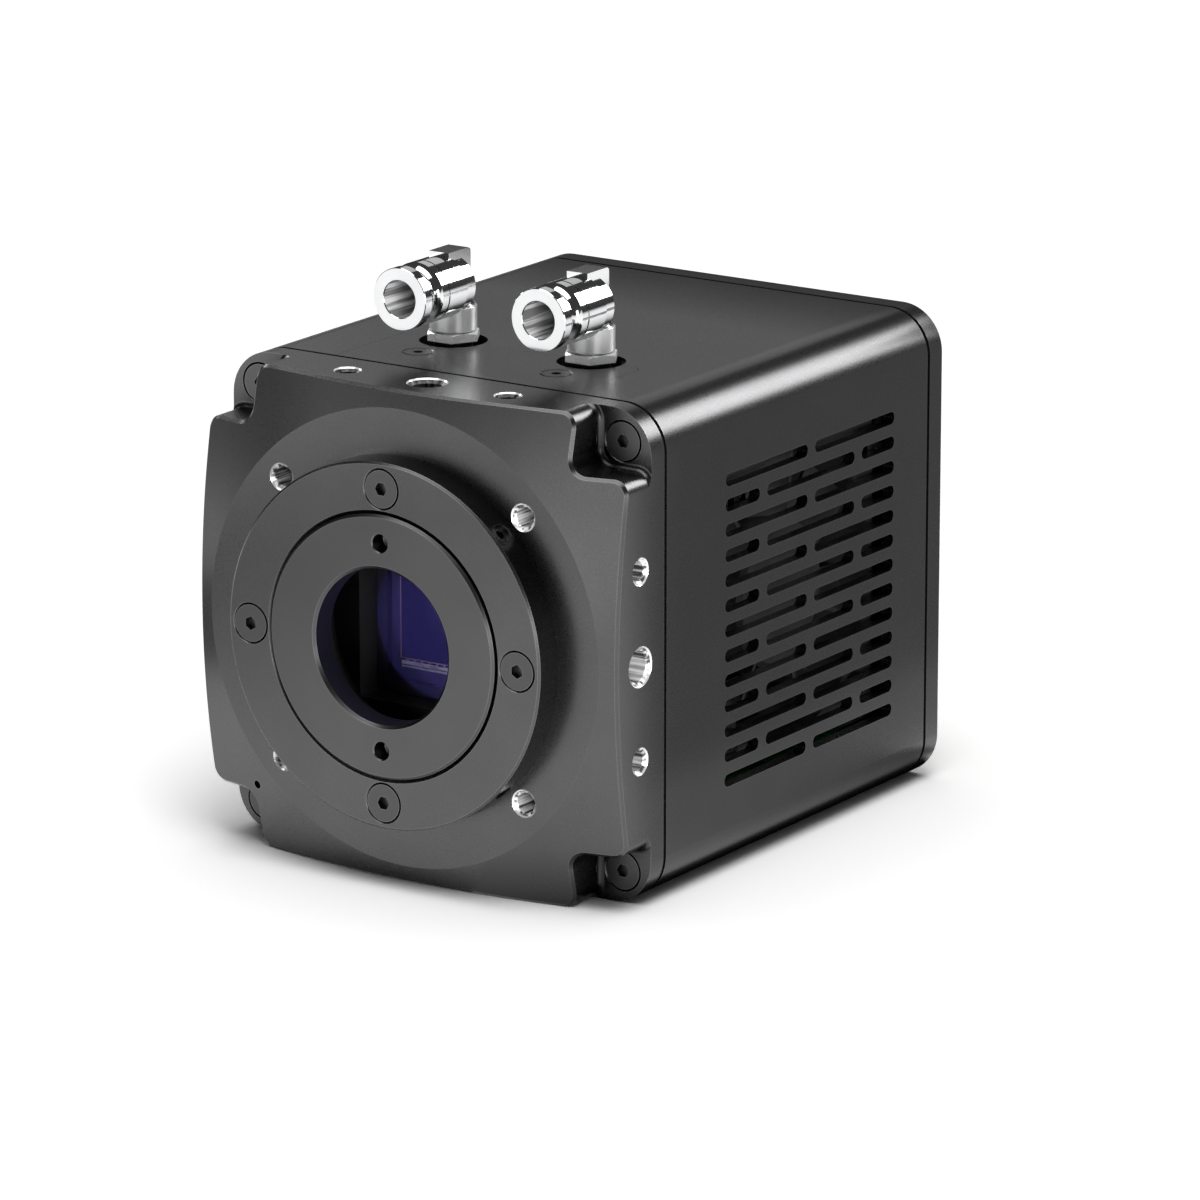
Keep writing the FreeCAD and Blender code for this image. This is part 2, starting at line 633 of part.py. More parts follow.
def elbow(x):
    nose_mid = (SOCKET_R - 0.75, LIP_Y[0] - 0.55)
    step_bevel = SOCKET_R - SOCKET_STEP_R
    back_bevel = 0.5
    profile = [
        (0, NOSE_Y), (SOCKET_NOSE_R, NOSE_Y), (nose_mid, (SOCKET_R, LIP_Y[0])), (SOCKET_R, LIP_Y[1]),
        (SOCKET_GROOVE_R, LIP_Y[1]), (SOCKET_GROOVE_R, GROOVE_END_Y), (SOCKET_R, GROOVE_END_Y),
        (SOCKET_R, STEP_Y - step_bevel), (SOCKET_STEP_R, STEP_Y),
        (SOCKET_STEP_R, SOCKET_BACK - back_bevel), (SOCKET_STEP_R - back_bevel, SOCKET_BACK),
        (0, SOCKET_BACK),
    ]
    socket = turned(profile, (x, 0, SOCKET_Z), (0, 1, 0))
    low, top = SLEEVE_Z
    foot_bevel = 0.2
    sleeve_steps = [
        (0, low), (SLEEVE_R - foot_bevel, low), (SLEEVE_R, low + foot_bevel),
        (SLEEVE_R, top - SLEEVE_BEVEL), (SLEEVE_R - SLEEVE_BEVEL, top), (0, top),
    ]
    sleeve = turned(sleeve_steps, (x, PORT_Y, 0), (0, 0, 1))
    grip = box((x - GRIP_HALF, x + GRIP_HALF), GRIP_Y, (top - 2, GRIP_TOP))
    across = edges_along(grip, "x")
    top_rear = [e for e in across if e.Vertexes[0].Z > GRIP_TOP - 0.1 and e.Vertexes[0].Y > PORT_Y]
    grip = grip.makeFillet(GRIP_ROUND, top_rear)
    body = socket.fuse([sleeve, grip]).removeSplitter()
    bore_y = (NOSE_Y - 1, STEP_Y)
    cuts = [rod(SOCKET_BORE_R, (x, bore_y[0], SOCKET_Z), (0, 1, 0), bore_y[1] - bore_y[0])]
    cuts.append(rod(CHANNEL_R, (x, STEP_Y - 1, SOCKET_Z), (0, 1, 0), PORT_Y + CHANNEL_R / 2 - STEP_Y + 1))
    cuts.append(rod(CHANNEL_R, (x, PORT_Y, SLEEVE_Z[0]), (0, 0, 1), SOCKET_Z - SLEEVE_Z[0]))
    spindle_room = SPINDLE_TOP + 0.3 - SLEEVE_Z[0] + 1
    cuts.append(rod(SPINDLE_R + RUNNING_GAP, (x, PORT_Y, SLEEVE_Z[0] - 1), (0, 0, 1), spindle_room))
    return body.cut(cuts)


def release_collar(x):
    flange_back = COLLAR_FRONT + COLLAR_FLANGE_T
    sleeve_r = SOCKET_BORE_R - RUNNING_GAP
    edge = 0.12
    steps = [
        (TUBE_R + edge, COLLAR_FRONT), (SOCKET_R - edge, COLLAR_FRONT), (SOCKET_R, COLLAR_FRONT + edge),
        (SOCKET_R, flange_back - edge), (SOCKET_R - edge, flange_back), (sleeve_r, flange_back),
        (sleeve_r, COLLAR_END), (TUBE_R, COLLAR_END), (TUBE_R, COLLAR_FRONT + edge),
    ]
    return turned(steps, (x, 0, SOCKET_Z), (0, 1, 0))


def fittings():
    seals = []
    for side, sign in SIDES.items():
        x = sign * PORT_X
        nodes[side + "_stud"] = stud(x)
        nodes[side + "_elbow"] = elbow(x)
        nodes[side + "_release_collar"] = release_collar(x)
        front, back = TUBE_SEAL_Y
        ring = rod(SOCKET_BORE_R, (x, front, SOCKET_Z), (0, 1, 0), back - front)
        nodes[side + "_tube_seal"] = ring.cut(rod(TUBE_SEAL_R, (x, 0, SOCKET_Z), (0, 1, 0), HALF))
        washer = rod(STUD_SEAL_R, (x, PORT_Y, STUD_SEAT_Z), (0, 0, 1), STUD_SEAL_T)
        seals.append(washer.cut(rod(STUD_THREAD_R, (x, PORT_Y, 0), (0, 0, 1), HALF)))
    nodes["stud_seals"] = Part.makeCompound(seals)


def heat_exchanger():
    x = (-EXCHANGER_HALF, EXCHANGER_HALF)
    block = box(x, EXCHANGER_Y, EXCHANGER_Z)
    fins = []
    for k in range(-6, 7):
        z = k * FIN_PITCH
        thickness = THICK_FIN_T if abs(z) == FAN_HOLE_AT else FIN_T
        fins.append(box(x, (EXCHANGER_Y[1], FIN_END), (z - thickness / 2, z + thickness / 2)))
    body = block.fuse(fins).removeSplitter()
    cuts = []
    for side in SIDES.values():
        port = side * PORT_X
        cuts.append(rod(PORT_HOLE_R, (port, PORT_Y, STUD_SEAT_Z), (0, 0, 1), HALF))
        cuts.append(rod(STUD_THREAD_R, (port, PORT_Y, STUD_TIP_Z - 0.5), (0, 0, 1), HALF))
        cuts.append(rod(WATER_R, (port, PORT_Y, WATER_LOW_Z), (0, 0, 1), STUD_TIP_Z - WATER_LOW_Z))
        cuts.append(rod(M25_R, (port, PANEL_SCREW_Y, HALF), (0, 0, -1), PANEL_SCREW_LENGTH + 0.5))
    cuts.append(rod(WATER_R, (-PORT_X, PORT_Y, WATER_LOW_Z), (1, 0, 0), 2 * PORT_X))
    for y, z in fan_hole_points():
        cuts.append(rod(M3_R, (EXCHANGER_HALF, y, z), (-1, 0, 0), FAN_SCREW_LENGTH - FAN_T + 0.5))
    return body.cut(cuts)


def fan_hole_points():
    return [(FAN_Y + a * FAN_HOLE_AT, b * FAN_HOLE_AT) for a, b in CORNERS]


def fan_frame():
    half = FAN_SIZE / 2
    block = box(FAN_X, (FAN_Y - half, FAN_Y + half), (-half, half))
    frame = block.makeFillet(FAN_CORNER_R, edges_along(block, "x"))
    frame = frame.cut(rod(FAN_OPENING_R, (FAN_X[0] - 1, FAN_Y, 0), (1, 0, 0), FAN_T + 2))
    strut = box((FAN_X[0], FAN_X[0] + FAN_BASE_T), (FAN_Y - 1, FAN_Y + 1), (0, FAN_OPENING_R + 0.5))
    struts = []
    for k in range(FAN_STRUTS):
        arm = strut.copy()
        arm.rotate(V(0, FAN_Y, 0), V(1, 0, 0), 45 + k * 360 / FAN_STRUTS)
        struts.append(arm)
    base = rod(FAN_HUB_R, (FAN_X[0], FAN_Y, 0), (1, 0, 0), FAN_BASE_T)
    frame = frame.fuse(struts + [base]).removeSplitter()
    cuts = [rod(M3_R, (FAN_X[0] - 1, y, z), (1, 0, 0), FAN_T + 2) for y, z in fan_hole_points()]
    cuts.append(rod(FAN_SHAFT_R + RUNNING_GAP, (FAN_X[0] + 0.6, FAN_Y, 0), (1, 0, 0), FAN_T))
    return frame.cut(cuts)


def fan_blade():
    """One blade, lofted from a steep root section to a flatter tip section."""
    middle = (FAN_HUB_X[0] + FAN_HUB_X[1]) / 2
    root_sunk = 0.6
    sections = []
    for radius, (chord, pitch) in ((FAN_HUB_R - root_sunk, BLADE_ROOT), (FAN_TIP_R, BLADE_TIP)):
        dx = chord / 2 * math.sin(math.radians(pitch))
        dy = chord / 2 * math.cos(math.radians(pitch))
        skin = BLADE_T / 2
        corners = [(-dx, -dy - skin), (dx, dy - skin), (dx, dy + skin), (-dx, -dy + skin)]
        points = [V(middle + a, FAN_Y + b, radius) for a, b in corners]
        sections.append(Part.makePolygon(points + points[:1]))
    return Part.makeLoft(sections, True, True)


def fan_rotor():
    back, face = FAN_HUB_X
    edge = 0.8
    steps = [(0, back), (FAN_HUB_R, back), (FAN_HUB_R, face - edge), (FAN_HUB_R - edge, face), (0, face)]
    hub = turned(steps, (0, FAN_Y, 0), (1, 0, 0))
    shaft = rod(FAN_SHAFT_R, (FAN_X[0] + 1, FAN_Y, 0), (1, 0, 0), back - FAN_X[0])
    blades = []
    for k in range(FAN_BLADES):
        blade = fan_blade()
        blade.rotate(V(0, FAN_Y, 0), V(1, 0, 0), k * 360 / FAN_BLADES)
        blades.append(blade)
    return hub.fuse([shaft] + blades)


def fan_parts():
    nodes["fan_frame"] = fan_frame()
    nodes["fan_rotor"] = fan_rotor()
    face = FAN_X[1]
    top = face + FAN_HEAD_H
    screws = []
    for y, z in fan_hole_points():
        shank = rod(M3_R, (face, y, z), (-1, 0, 0), FAN_SCREW_LENGTH)
        head = rod(FAN_HEAD_R, (face, y, z), (1, 0, 0), FAN_HEAD_H)
        socket = hexagon(FAN_SOCKET_AF, (top, y, z), (-1, 0, 0), FAN_SOCKET_DEPTH)
        screws.append(head.fuse(shank).cut(socket))
    nodes["fan_screws"] = Part.makeCompound(screws)


def boards():
    main_z = (MAIN_BOARD_TOP - BOARD_T, MAIN_BOARD_TOP)
    nodes["main_board"] = box((-MAIN_BOARD_HALF_X, MAIN_BOARD_HALF_X), MAIN_BOARD_Y, main_z)
    rear_y = (REAR_BOARD_Y, REAR_BOARD_Y + BOARD_T)
    half_x, half_z = REAR_BOARD_HALF
    nodes["interface_board"] = box((-half_x, half_x), rear_y, (-half_z, half_z))
    low = [rod(POST_R, (x, y, -INSIDE), (0, 0, 1), main_z[0] + INSIDE) for x, y in MAIN_POST_AT]
    nodes["main_board_posts"] = Part.makeCompound(low)
    post_x, post_z = REAR_POST_AT
    back = []
    for a, b in CORNERS:
        back.append(rod(POST_R, (a * post_x, rear_y[1], b * post_z), (0, 1, 0), REAR_FRONT - rear_y[1]))
    nodes["interface_board_posts"] = Part.makeCompound(back)
    nodes["board_connector"] = board_connector()
    nodes["fan_header"] = fan_header(rear_y[1])
    return rear_y[1]


def board_connector():
    """Right-angle strip between the two boards, with a groove for each contact."""
    front = REAR_BOARD_Y - CONNECTOR_DEPTH
    top = MAIN_BOARD_TOP + CONNECTOR_H
    body = box(CONNECTOR_X, (front, REAR_BOARD_Y), (MAIN_BOARD_TOP, top))
    first = (CONNECTOR_X[0] + CONNECTOR_X[1] - CONTACT_PITCH * (CONTACT_COUNT - 1)) / 2
    groove_y = (front, front + CONTACT_GROOVE_DEPTH)
    groove_z = (MAIN_BOARD_TOP + CONTACT_MARGIN, top - CONTACT_MARGIN)
    grooves = []
    for k in range(CONTACT_COUNT):
        x = first + k * CONTACT_PITCH
        grooves.append(box((x - CONTACT_GROOVE_W / 2, x + CONTACT_GROOVE_W / 2), groove_y, groove_z))
    return body.cut(grooves)


def fan_header(back):
    """Four-pin socket that opens to the rear, with a key slot in its outer wall."""
    end = back + HEADER_DEPTH
    floor = back + HEADER_FLOOR_T
    middle_x = (HEADER_X[0] + HEADER_X[1]) / 2
    middle_z = (HEADER_Z[0] + HEADER_Z[1]) / 2
    room_x = (HEADER_X[0] + HEADER_WALL, HEADER_X[1] - HEADER_WALL)
    room_z = (HEADER_Z[0] + HEADER_WALL, HEADER_Z[1] - HEADER_WALL)
    key_z = (middle_z - HEADER_KEY_HALF, middle_z + HEADER_KEY_HALF)
    body = box(HEADER_X, (back, end), HEADER_Z)
    body = body.cut([box(room_x, (floor, end), room_z), box((middle_x, HEADER_X[1]), (floor, end), key_z)])
    pin = HEADER_PIN_HALF
    pins = []
    for offset in HEADER_PIN_Z:
        z = middle_z + offset
        pins.append(box((middle_x - pin, middle_x + pin), (back, end - HEADER_PIN_SUNK), (z - pin, z + pin)))
    return body.fuse(pins).removeSplitter()


def data_port(back):
    """Square socket with a central tongue; the mouth's upper corners are cut off."""
    half_x, half_z = DATA_BLOCK_HALF
    block = box((-half_x, half_x), (back, DATA_FACE), (DATA_PORT_Z - half_z, DATA_PORT_Z + half_z))
    wide, tall = DATA_MOUTH_HALF
    low, high = DATA_PORT_Z - tall, DATA_PORT_Z + tall
    steps = [
        (-wide, low), (wide, low), (wide, high - DATA_CORNER),
        (wide - DATA_CORNER, high), (DATA_CORNER - wide, high), (-wide, high - DATA_CORNER),
    ]
    floor = DATA_FACE - DATA_DEPTH
    mouth = prism(steps, (floor, DATA_FACE + 1))
    wide, tall = DATA_TONGUE_HALF
    tongue_y = (floor - 0.5, DATA_FACE - DATA_TONGUE_SUNK)
    tongue = box((-wide, wide), tongue_y, (DATA_PORT_Z - tall, DATA_PORT_Z + tall))
    return block.cut(mouth).fuse(tongue)


def power_jack(back):
    x, z = POWER_PORT
    rim = REAR_BACK + POWER_COLLAR_T
    floor = rim - POWER_DEPTH
    pin_end = rim - POWER_PIN_SUNK
    edge = 0.4
    steps = [
        (0, back), (POWER_BODY_R, back), (POWER_BODY_R, REAR_BACK), (POWER_COLLAR_R, REAR_BACK),
        (POWER_COLLAR_R, rim - edge), (POWER_COLLAR_R - edge, rim), (POWER_BORE_R, rim),
        (POWER_BORE_R, floor), (POWER_PIN_R, floor), (POWER_PIN_R, pin_end), (0, pin_end),
    ]
    return turned(steps, (x, 0, z), (0, 1, 0))


def trigger_port(x, back):
    floor = TRIGGER_END - TRIGGER_DEPTH
    pin_end = TRIGGER_END - TRIGGER_PIN_SUNK
    edge = 0.3
    steps = [
        (0, back), (TRIGGER_BODY_R, back), (TRIGGER_BODY_R, REAR_BACK), (TRIGGER_THREAD_R, REAR_BACK),
        (TRIGGER_THREAD_R, TRIGGER_END - edge), (TRIGGER_THREAD_R - edge, TRIGGER_END),
        (TRIGGER_BORE_R, TRIGGER_END), (TRIGGER_BORE_R, floor), (TRIGGER_PIN_R, floor),
        (TRIGGER_PIN_R, pin_end), (0, pin_end),
    ]
    seat = (x, REAR_BACK, TRIGGER_Z)
    nut = bevelled_hexagon(TRIGGER_NUT_AF, seat, (0, 1, 0), TRIGGER_NUT_T, TRIGGER_NUT_BEVEL)
    core = rod(TRIGGER_BORE_R, seat, (0, 1, 0), TRIGGER_NUT_T)
    return turned(steps, (x, 0, TRIGGER_Z), (0, 1, 0)).fuse(nut.cut(core)).removeSplitter()


def rear_parts():
    back = boards()
    nodes["data_port"] = data_port(back)
    nodes["power_jack"] = power_jack(back)
    nodes["trigger_ports"] = Part.makeCompound([trigger_port(x, back) for x in TRIGGER_X])
    light_x, light_z = STATUS_LIGHT
    tip = REAR_BACK + STATUS_LIGHT_OUT
    lamp = [
        (0, back), (STATUS_LIGHT_R, back), (STATUS_LIGHT_R, REAR_BACK),
        (STATUS_LIGHT_R - STATUS_LIGHT_OUT, tip), (0, tip),
    ]
    nodes["status_light"] = turned(lamp, (light_x, 0, light_z), (0, 1, 0))
    nodes["rear_plate"] = rear_plate()


def rear_plate():
    plate = square(HALF, CORNER_R, (REAR_FRONT, REAR_BACK))
    back_edges = [e for e in plate.Edges if all(abs(v.Y - REAR_BACK) < 0.01 for v in e.Vertexes)]
    plate = plate.makeChamfer(EDGE_BEVEL, back_edges)
    half_x, half_z = [half + PORT_CLEARANCE for half in DATA_BLOCK_HALF]
    data_z = (DATA_PORT_Z - half_z, DATA_PORT_Z + half_z)
    cuts = [box((-half_x, half_x), (REAR_FRONT, REAR_BACK), data_z)]
    round_ports = [(TRIGGER_BODY_R, x, TRIGGER_Z) for x in TRIGGER_X]
    round_ports.append((POWER_BODY_R,) + POWER_PORT)
    round_ports.append((STATUS_LIGHT_R,) + STATUS_LIGHT)
    for radius, x, z in round_ports:
        cuts.append(rod(radius + PORT_CLEARANCE, (x, REAR_FRONT, z), (0, 1, 0), REAR_PLATE_T))
    for at in corner_screw_points(REAR_BACK):
        cuts.append(flat_screw_hole(at, (0, -1, 0), M3_HEAD_R, M3_R, REAR_PLATE_T + 1))
    return plate.cut(cuts)


def build():
    nodes["front_plate"] = front_plate()
    nodes["mount_ring"] = mount_ring()
    nodes["c_mount_insert"] = c_mount_insert()
    window_parts()
    sensor_parts()
    screws_and_gaskets()
    nodes["shell"] = shell()
    nodes["port_panel"] = port_panel()
    fittings()
    nodes["heat_exchanger"] = heat_exchanger()
    fan_parts()
    rear_parts()


build()
os.makedirs("parts", exist_ok=True)
for name, shape in nodes.items():
    shape.exportStep(f"parts/{name}.step")
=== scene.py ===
import math

import bmesh
import bpy
from mathutils import Matrix, Vector


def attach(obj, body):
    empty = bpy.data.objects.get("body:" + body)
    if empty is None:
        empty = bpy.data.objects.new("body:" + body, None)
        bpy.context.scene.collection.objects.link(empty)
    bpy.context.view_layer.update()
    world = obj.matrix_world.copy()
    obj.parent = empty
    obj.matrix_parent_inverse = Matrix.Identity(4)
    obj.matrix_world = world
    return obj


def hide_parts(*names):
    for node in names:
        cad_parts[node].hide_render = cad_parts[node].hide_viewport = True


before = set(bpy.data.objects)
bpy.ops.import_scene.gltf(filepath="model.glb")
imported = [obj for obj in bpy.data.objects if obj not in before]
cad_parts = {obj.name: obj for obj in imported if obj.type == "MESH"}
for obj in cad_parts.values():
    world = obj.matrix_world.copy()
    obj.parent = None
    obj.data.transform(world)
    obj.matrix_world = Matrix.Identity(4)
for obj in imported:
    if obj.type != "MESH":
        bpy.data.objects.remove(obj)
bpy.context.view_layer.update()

MM = 0.001

# Camera, from the photograph's perspective
CAMERA_AT = (649.29, -912.62, 313.18)
CAMERA_AZIMUTH = 33.686
CAMERA_ELEVATION = 15.265
CAMERA_LENS = 222.84

# Studio: FLOOR_Z, STRIP_Z and the cards are in millimetres, the rest in metres
FLOOR_Z = -40.0
STRIP_Z = FLOOR_Z + 0.05
FLOOR_HALF = 6.0
FLOOR_COLOUR = (0.85, 0.85, 0.85)
FLOOR_SEEN = 1.45
FLOOR_SEEN_FAR = 1.9
FLOOR_FAR = (0.25, 0.8)
FLOOR_MIRRORED = 1.8
WORLD_LEVEL = 0.05
STUDIO_CENTRE = (0.0, 0.05, 0.0)
SOFTBOXES = {
    # name: (azimuth from the lens side towards +X, elevation, distance,
    #        width, height, radiance, what it lights)
    "overhead": (0, 90, 1.4, 1.6, 1.6, 2.85, "object"),
    "floor_wide": (0, 90, 1.4, 1.6, 1.6, 1.35, "floor"),
    "floor_key": (40, 75, 4.0, 1.6, 1.6, 5.2, "floor"),
    "floor_side": (46, 54, 2.0, 0.7, 0.7, 3.2, "floor"),
    "front_low": (340, 5, 0.5, 0.5, 0.16, 1.9, "object"),
    "left_near": (250, 35, 0.3, 0.15, 0.1, 6.0, "object"),
    "rear_left": (210, 28, 1.1, 0.5, 0.45, 0.56, "object"),
    "rear_right": (150, 28, 1.1, 0.5, 0.45, 9.0, "object"),
    "vent_side": (60, 6, 1.0, 0.45, 0.25, 4.0, "object"),
    "bare_metal": (48, 16, 0.5, 0.25, 0.15, 12.0, "metal"),
}
# Glowing cards seen only in reflections: painted reflections; the contact strip, unlit, is a painted
# shadow
CARDS = {
    # name: (one corner, the opposite corner, radiance at the first, radiance at the opposite one)
    "right_card": ((55.0, 33.0, -28.0), (55.0, 450.0, 36.0), 0.36, 0.36),
    "low_card": ((55.0, 33.0, FLOOR_Z), (55.0, 450.0, -28.0), 0.58, 0.58),
    "left_card": ((-110.0, -350.0, FLOOR_Z), (-110.0, 30.0, -12.0), 0.33, 0.33),
    "rear_card": ((-160.0, 130.0, 38.0), (60.0, 130.0, 58.0), 0.09, 0.09),
    "contact_strip": ((30.0, 13.0, STRIP_Z), (39.7, 106.0, STRIP_Z), 0.0, 0.0),
    "side_strip": ((39.7, 13.0, STRIP_Z), (55.0, 110.0, STRIP_Z), 0.92, 0.26),
    "front_strip": ((12.0, -8.0, STRIP_Z), (39.7, 12.5, STRIP_Z), 1.25, 0.0),
}

# Finish
# Painted highlight along edges: its width in millimetres, and how many times paler it is
EDGE_WIDTH = 0.22
EDGE_HIGHLIGHT = 2.2
# Painted shade in pockets and inner corners: how far it looks, and its darkest factor
POCKET_REACH = 8.0
POCKET_SHADE = 0.15
# Stretch of the streaks along a bore: painted reflection streaks, along with tool marks
AXIAL_STRETCH = 0.04
SKIN = 0.03
MATT = 0.9
BLACK = (0.0, 0.0, 0.0)
WHITE = (1.0, 1.0, 1.0)
CHROME = (0.7, 0.705, 0.71)
CHROME_ROUGH = 0.08
SATIN = (0.9, 0.905, 0.91)
SATIN_ROUGH = 0.28
SATIN_METALLIC = 0.5
# Bore colours: bright cut metal, and near black for the holes along Z, a painted shade
BORE_BRIGHT = 0.95
BORE_SHADE = 0.1

# Places on the part, in millimetres, as in its CAD source
BODY_HALF = 40.0
FLAT_Y = 5.42
FRONT_HOLE_AT = 23.08
SIDE_HOLE_Y = 12.74
SIDE_HOLE_PITCH = 15.29
TAP = {"bore": 1.65, "mouth": 2.3, "depth": 6.9}
TRIPOD = {"bore": 2.6, "mouth": 3.33, "depth": 8.4}
DRILL_TIP = 0.9
DRILL_END = 0.05
LIP = 0.22
LENS_BORE_R = 12.7
LENS_BORE_Y = (-0.05, 3.95)
DIE_FACE = 17.026
DIE_HALF = 8.5
PORT_X = 13.28
SOCKET_Z = 49.5
TUBE_R = 3.05
STEM_TOP = 46.3
HEX_FOOT = 40.4
TUBE_Y = (24.22, 33.2)
MAIN_BOARD_TOP = -27.4
REAR_BOARD_FRONT = 89.4
DATA_PORT_Z = -14.0
DATA_TONGUE_HALF_Z = 1.6
DATA_TONGUE_Y = (93.75, 101.15)
POWER_PORT = (22.0, -14.0)
POWER_PIN_R = 1.0
POWER_PIN_Y = (96.35, 103.35)
TRIGGER_X = (-21.0, -7.0, 7.0, 21.0)
TRIGGER_Z = 10.0
TRIGGER_BACK = 91.0
TRIGGER_SEAT = 102.75
TRIGGER_END = 112.0
TRIGGER_BODY_R = 4.0
TRIGGER_THREAD_R = 3.175
TRIGGER_BORE_R = 2.3
TRIGGER_FLOOR = 107.0
TRIGGER_PIN_R = 0.65
TRIGGER_PIN_END = 110.0
NUT_HALF = 4.5
NUT_TOP = 104.75
NUT_BEVEL = 0.4

# Details that only the picture has
LAYER = 0.012
SHIELD_X = (6.1, 8.3)
SEAL_RING_Z = 7.0
SEAL_RING_W = 0.18
PAD_Z = (7.0, 7.3)
PAD_PITCH = 1.45
PAD_LENGTH = 0.35
BUS_LINES = ((7.3, 7.95), (8.07, 8.42))
THREAD_PITCH = 0.7056
THREAD_DEPTH = 0.36
THREAD_STEPS = 6
THREAD_RELIEF = 0.3
PIN_CHAMFER = 0.2
AXIS_R = 0.01
NUT_SEGMENTS = 72
LENS_SEGMENTS = 96
CHIP_FOOT = 0.1
CHIP_BEVEL = 0.15
CHIP_MARGIN = 1.0
LEAD_BENDS = (0.35, 0.55, 1.0)
LEAD_FOOT = 0.09
LEAD_SHARE = 0.2
LEAD_THICK = 0.12
MAIN_CHIPS = (
    # x, y, width, depth, height, leads along a side
    (0, 67, 18, 18, 1.6, 26), (-23, 67, 6, 11, 1.5, 8), (22, 67, 6, 11, 1.5, 8))
REAR_CHIPS = (
    # x, z, width, depth, height, leads along a side
    (-13, 2, 12, 12, 1.6, 16), (10, 8, 5, 8, 1.5, 6), (-30, -10, 4, 6, 1.4, 4))
CAPACITOR_BODY = ((-0.7, 0.7), (-0.6, 0.6), (0.05, 1.05), 0.06)
CAPACITOR_CAP_X = (0.65, 1.05)
CAPACITOR_CAP = ((-0.64, 0.64), (0.02, 1.1), 0.08)
MAIN_CAPACITOR_X = (-31.5, -16, 16)
MAIN_CAPACITOR_Y = range(52, 81, 4)
REAR_CAPACITOR_X = (-22, 2, 20)
REAR_CAPACITOR_Z = range(-16, -3, 3)
LATCH = (
    # x, y, height above the main board
    ((33, 34.2), (87.4, 89.3), (0, 0.8)), ((33, 33.9), (88.2, 89.3), (0.7, 2.4)))
LATCH_BEVEL = 0.15
CONTACT_X = (-1.25, 1.25)
CONTACT_HALF = 0.5
CONTACT_ENDS = (0.3, 0.6)
CONTACT_SUNK = 0.05
CONTACT_PROUD = 0.12
CONTACT_BEVEL = 0.04
POWER_PIN_NOSE = ((0.0, 0.3), (0.1, 0.1), (0.35, -SKIN))


def direction(azimuth, elevation):
    """Unit vector away from the object; azimuth runs from the lens side (-Y) towards +X."""
    turn = math.radians(azimuth)
    rise = math.radians(elevation)
    level = math.cos(rise)
    return Vector((math.sin(turn) * level, -math.cos(turn) * level, math.sin(rise)))


def new_object(name, mesh):
    obj = bpy.data.objects.new(name, mesh)
    bpy.context.collection.objects.link(obj)
    return obj


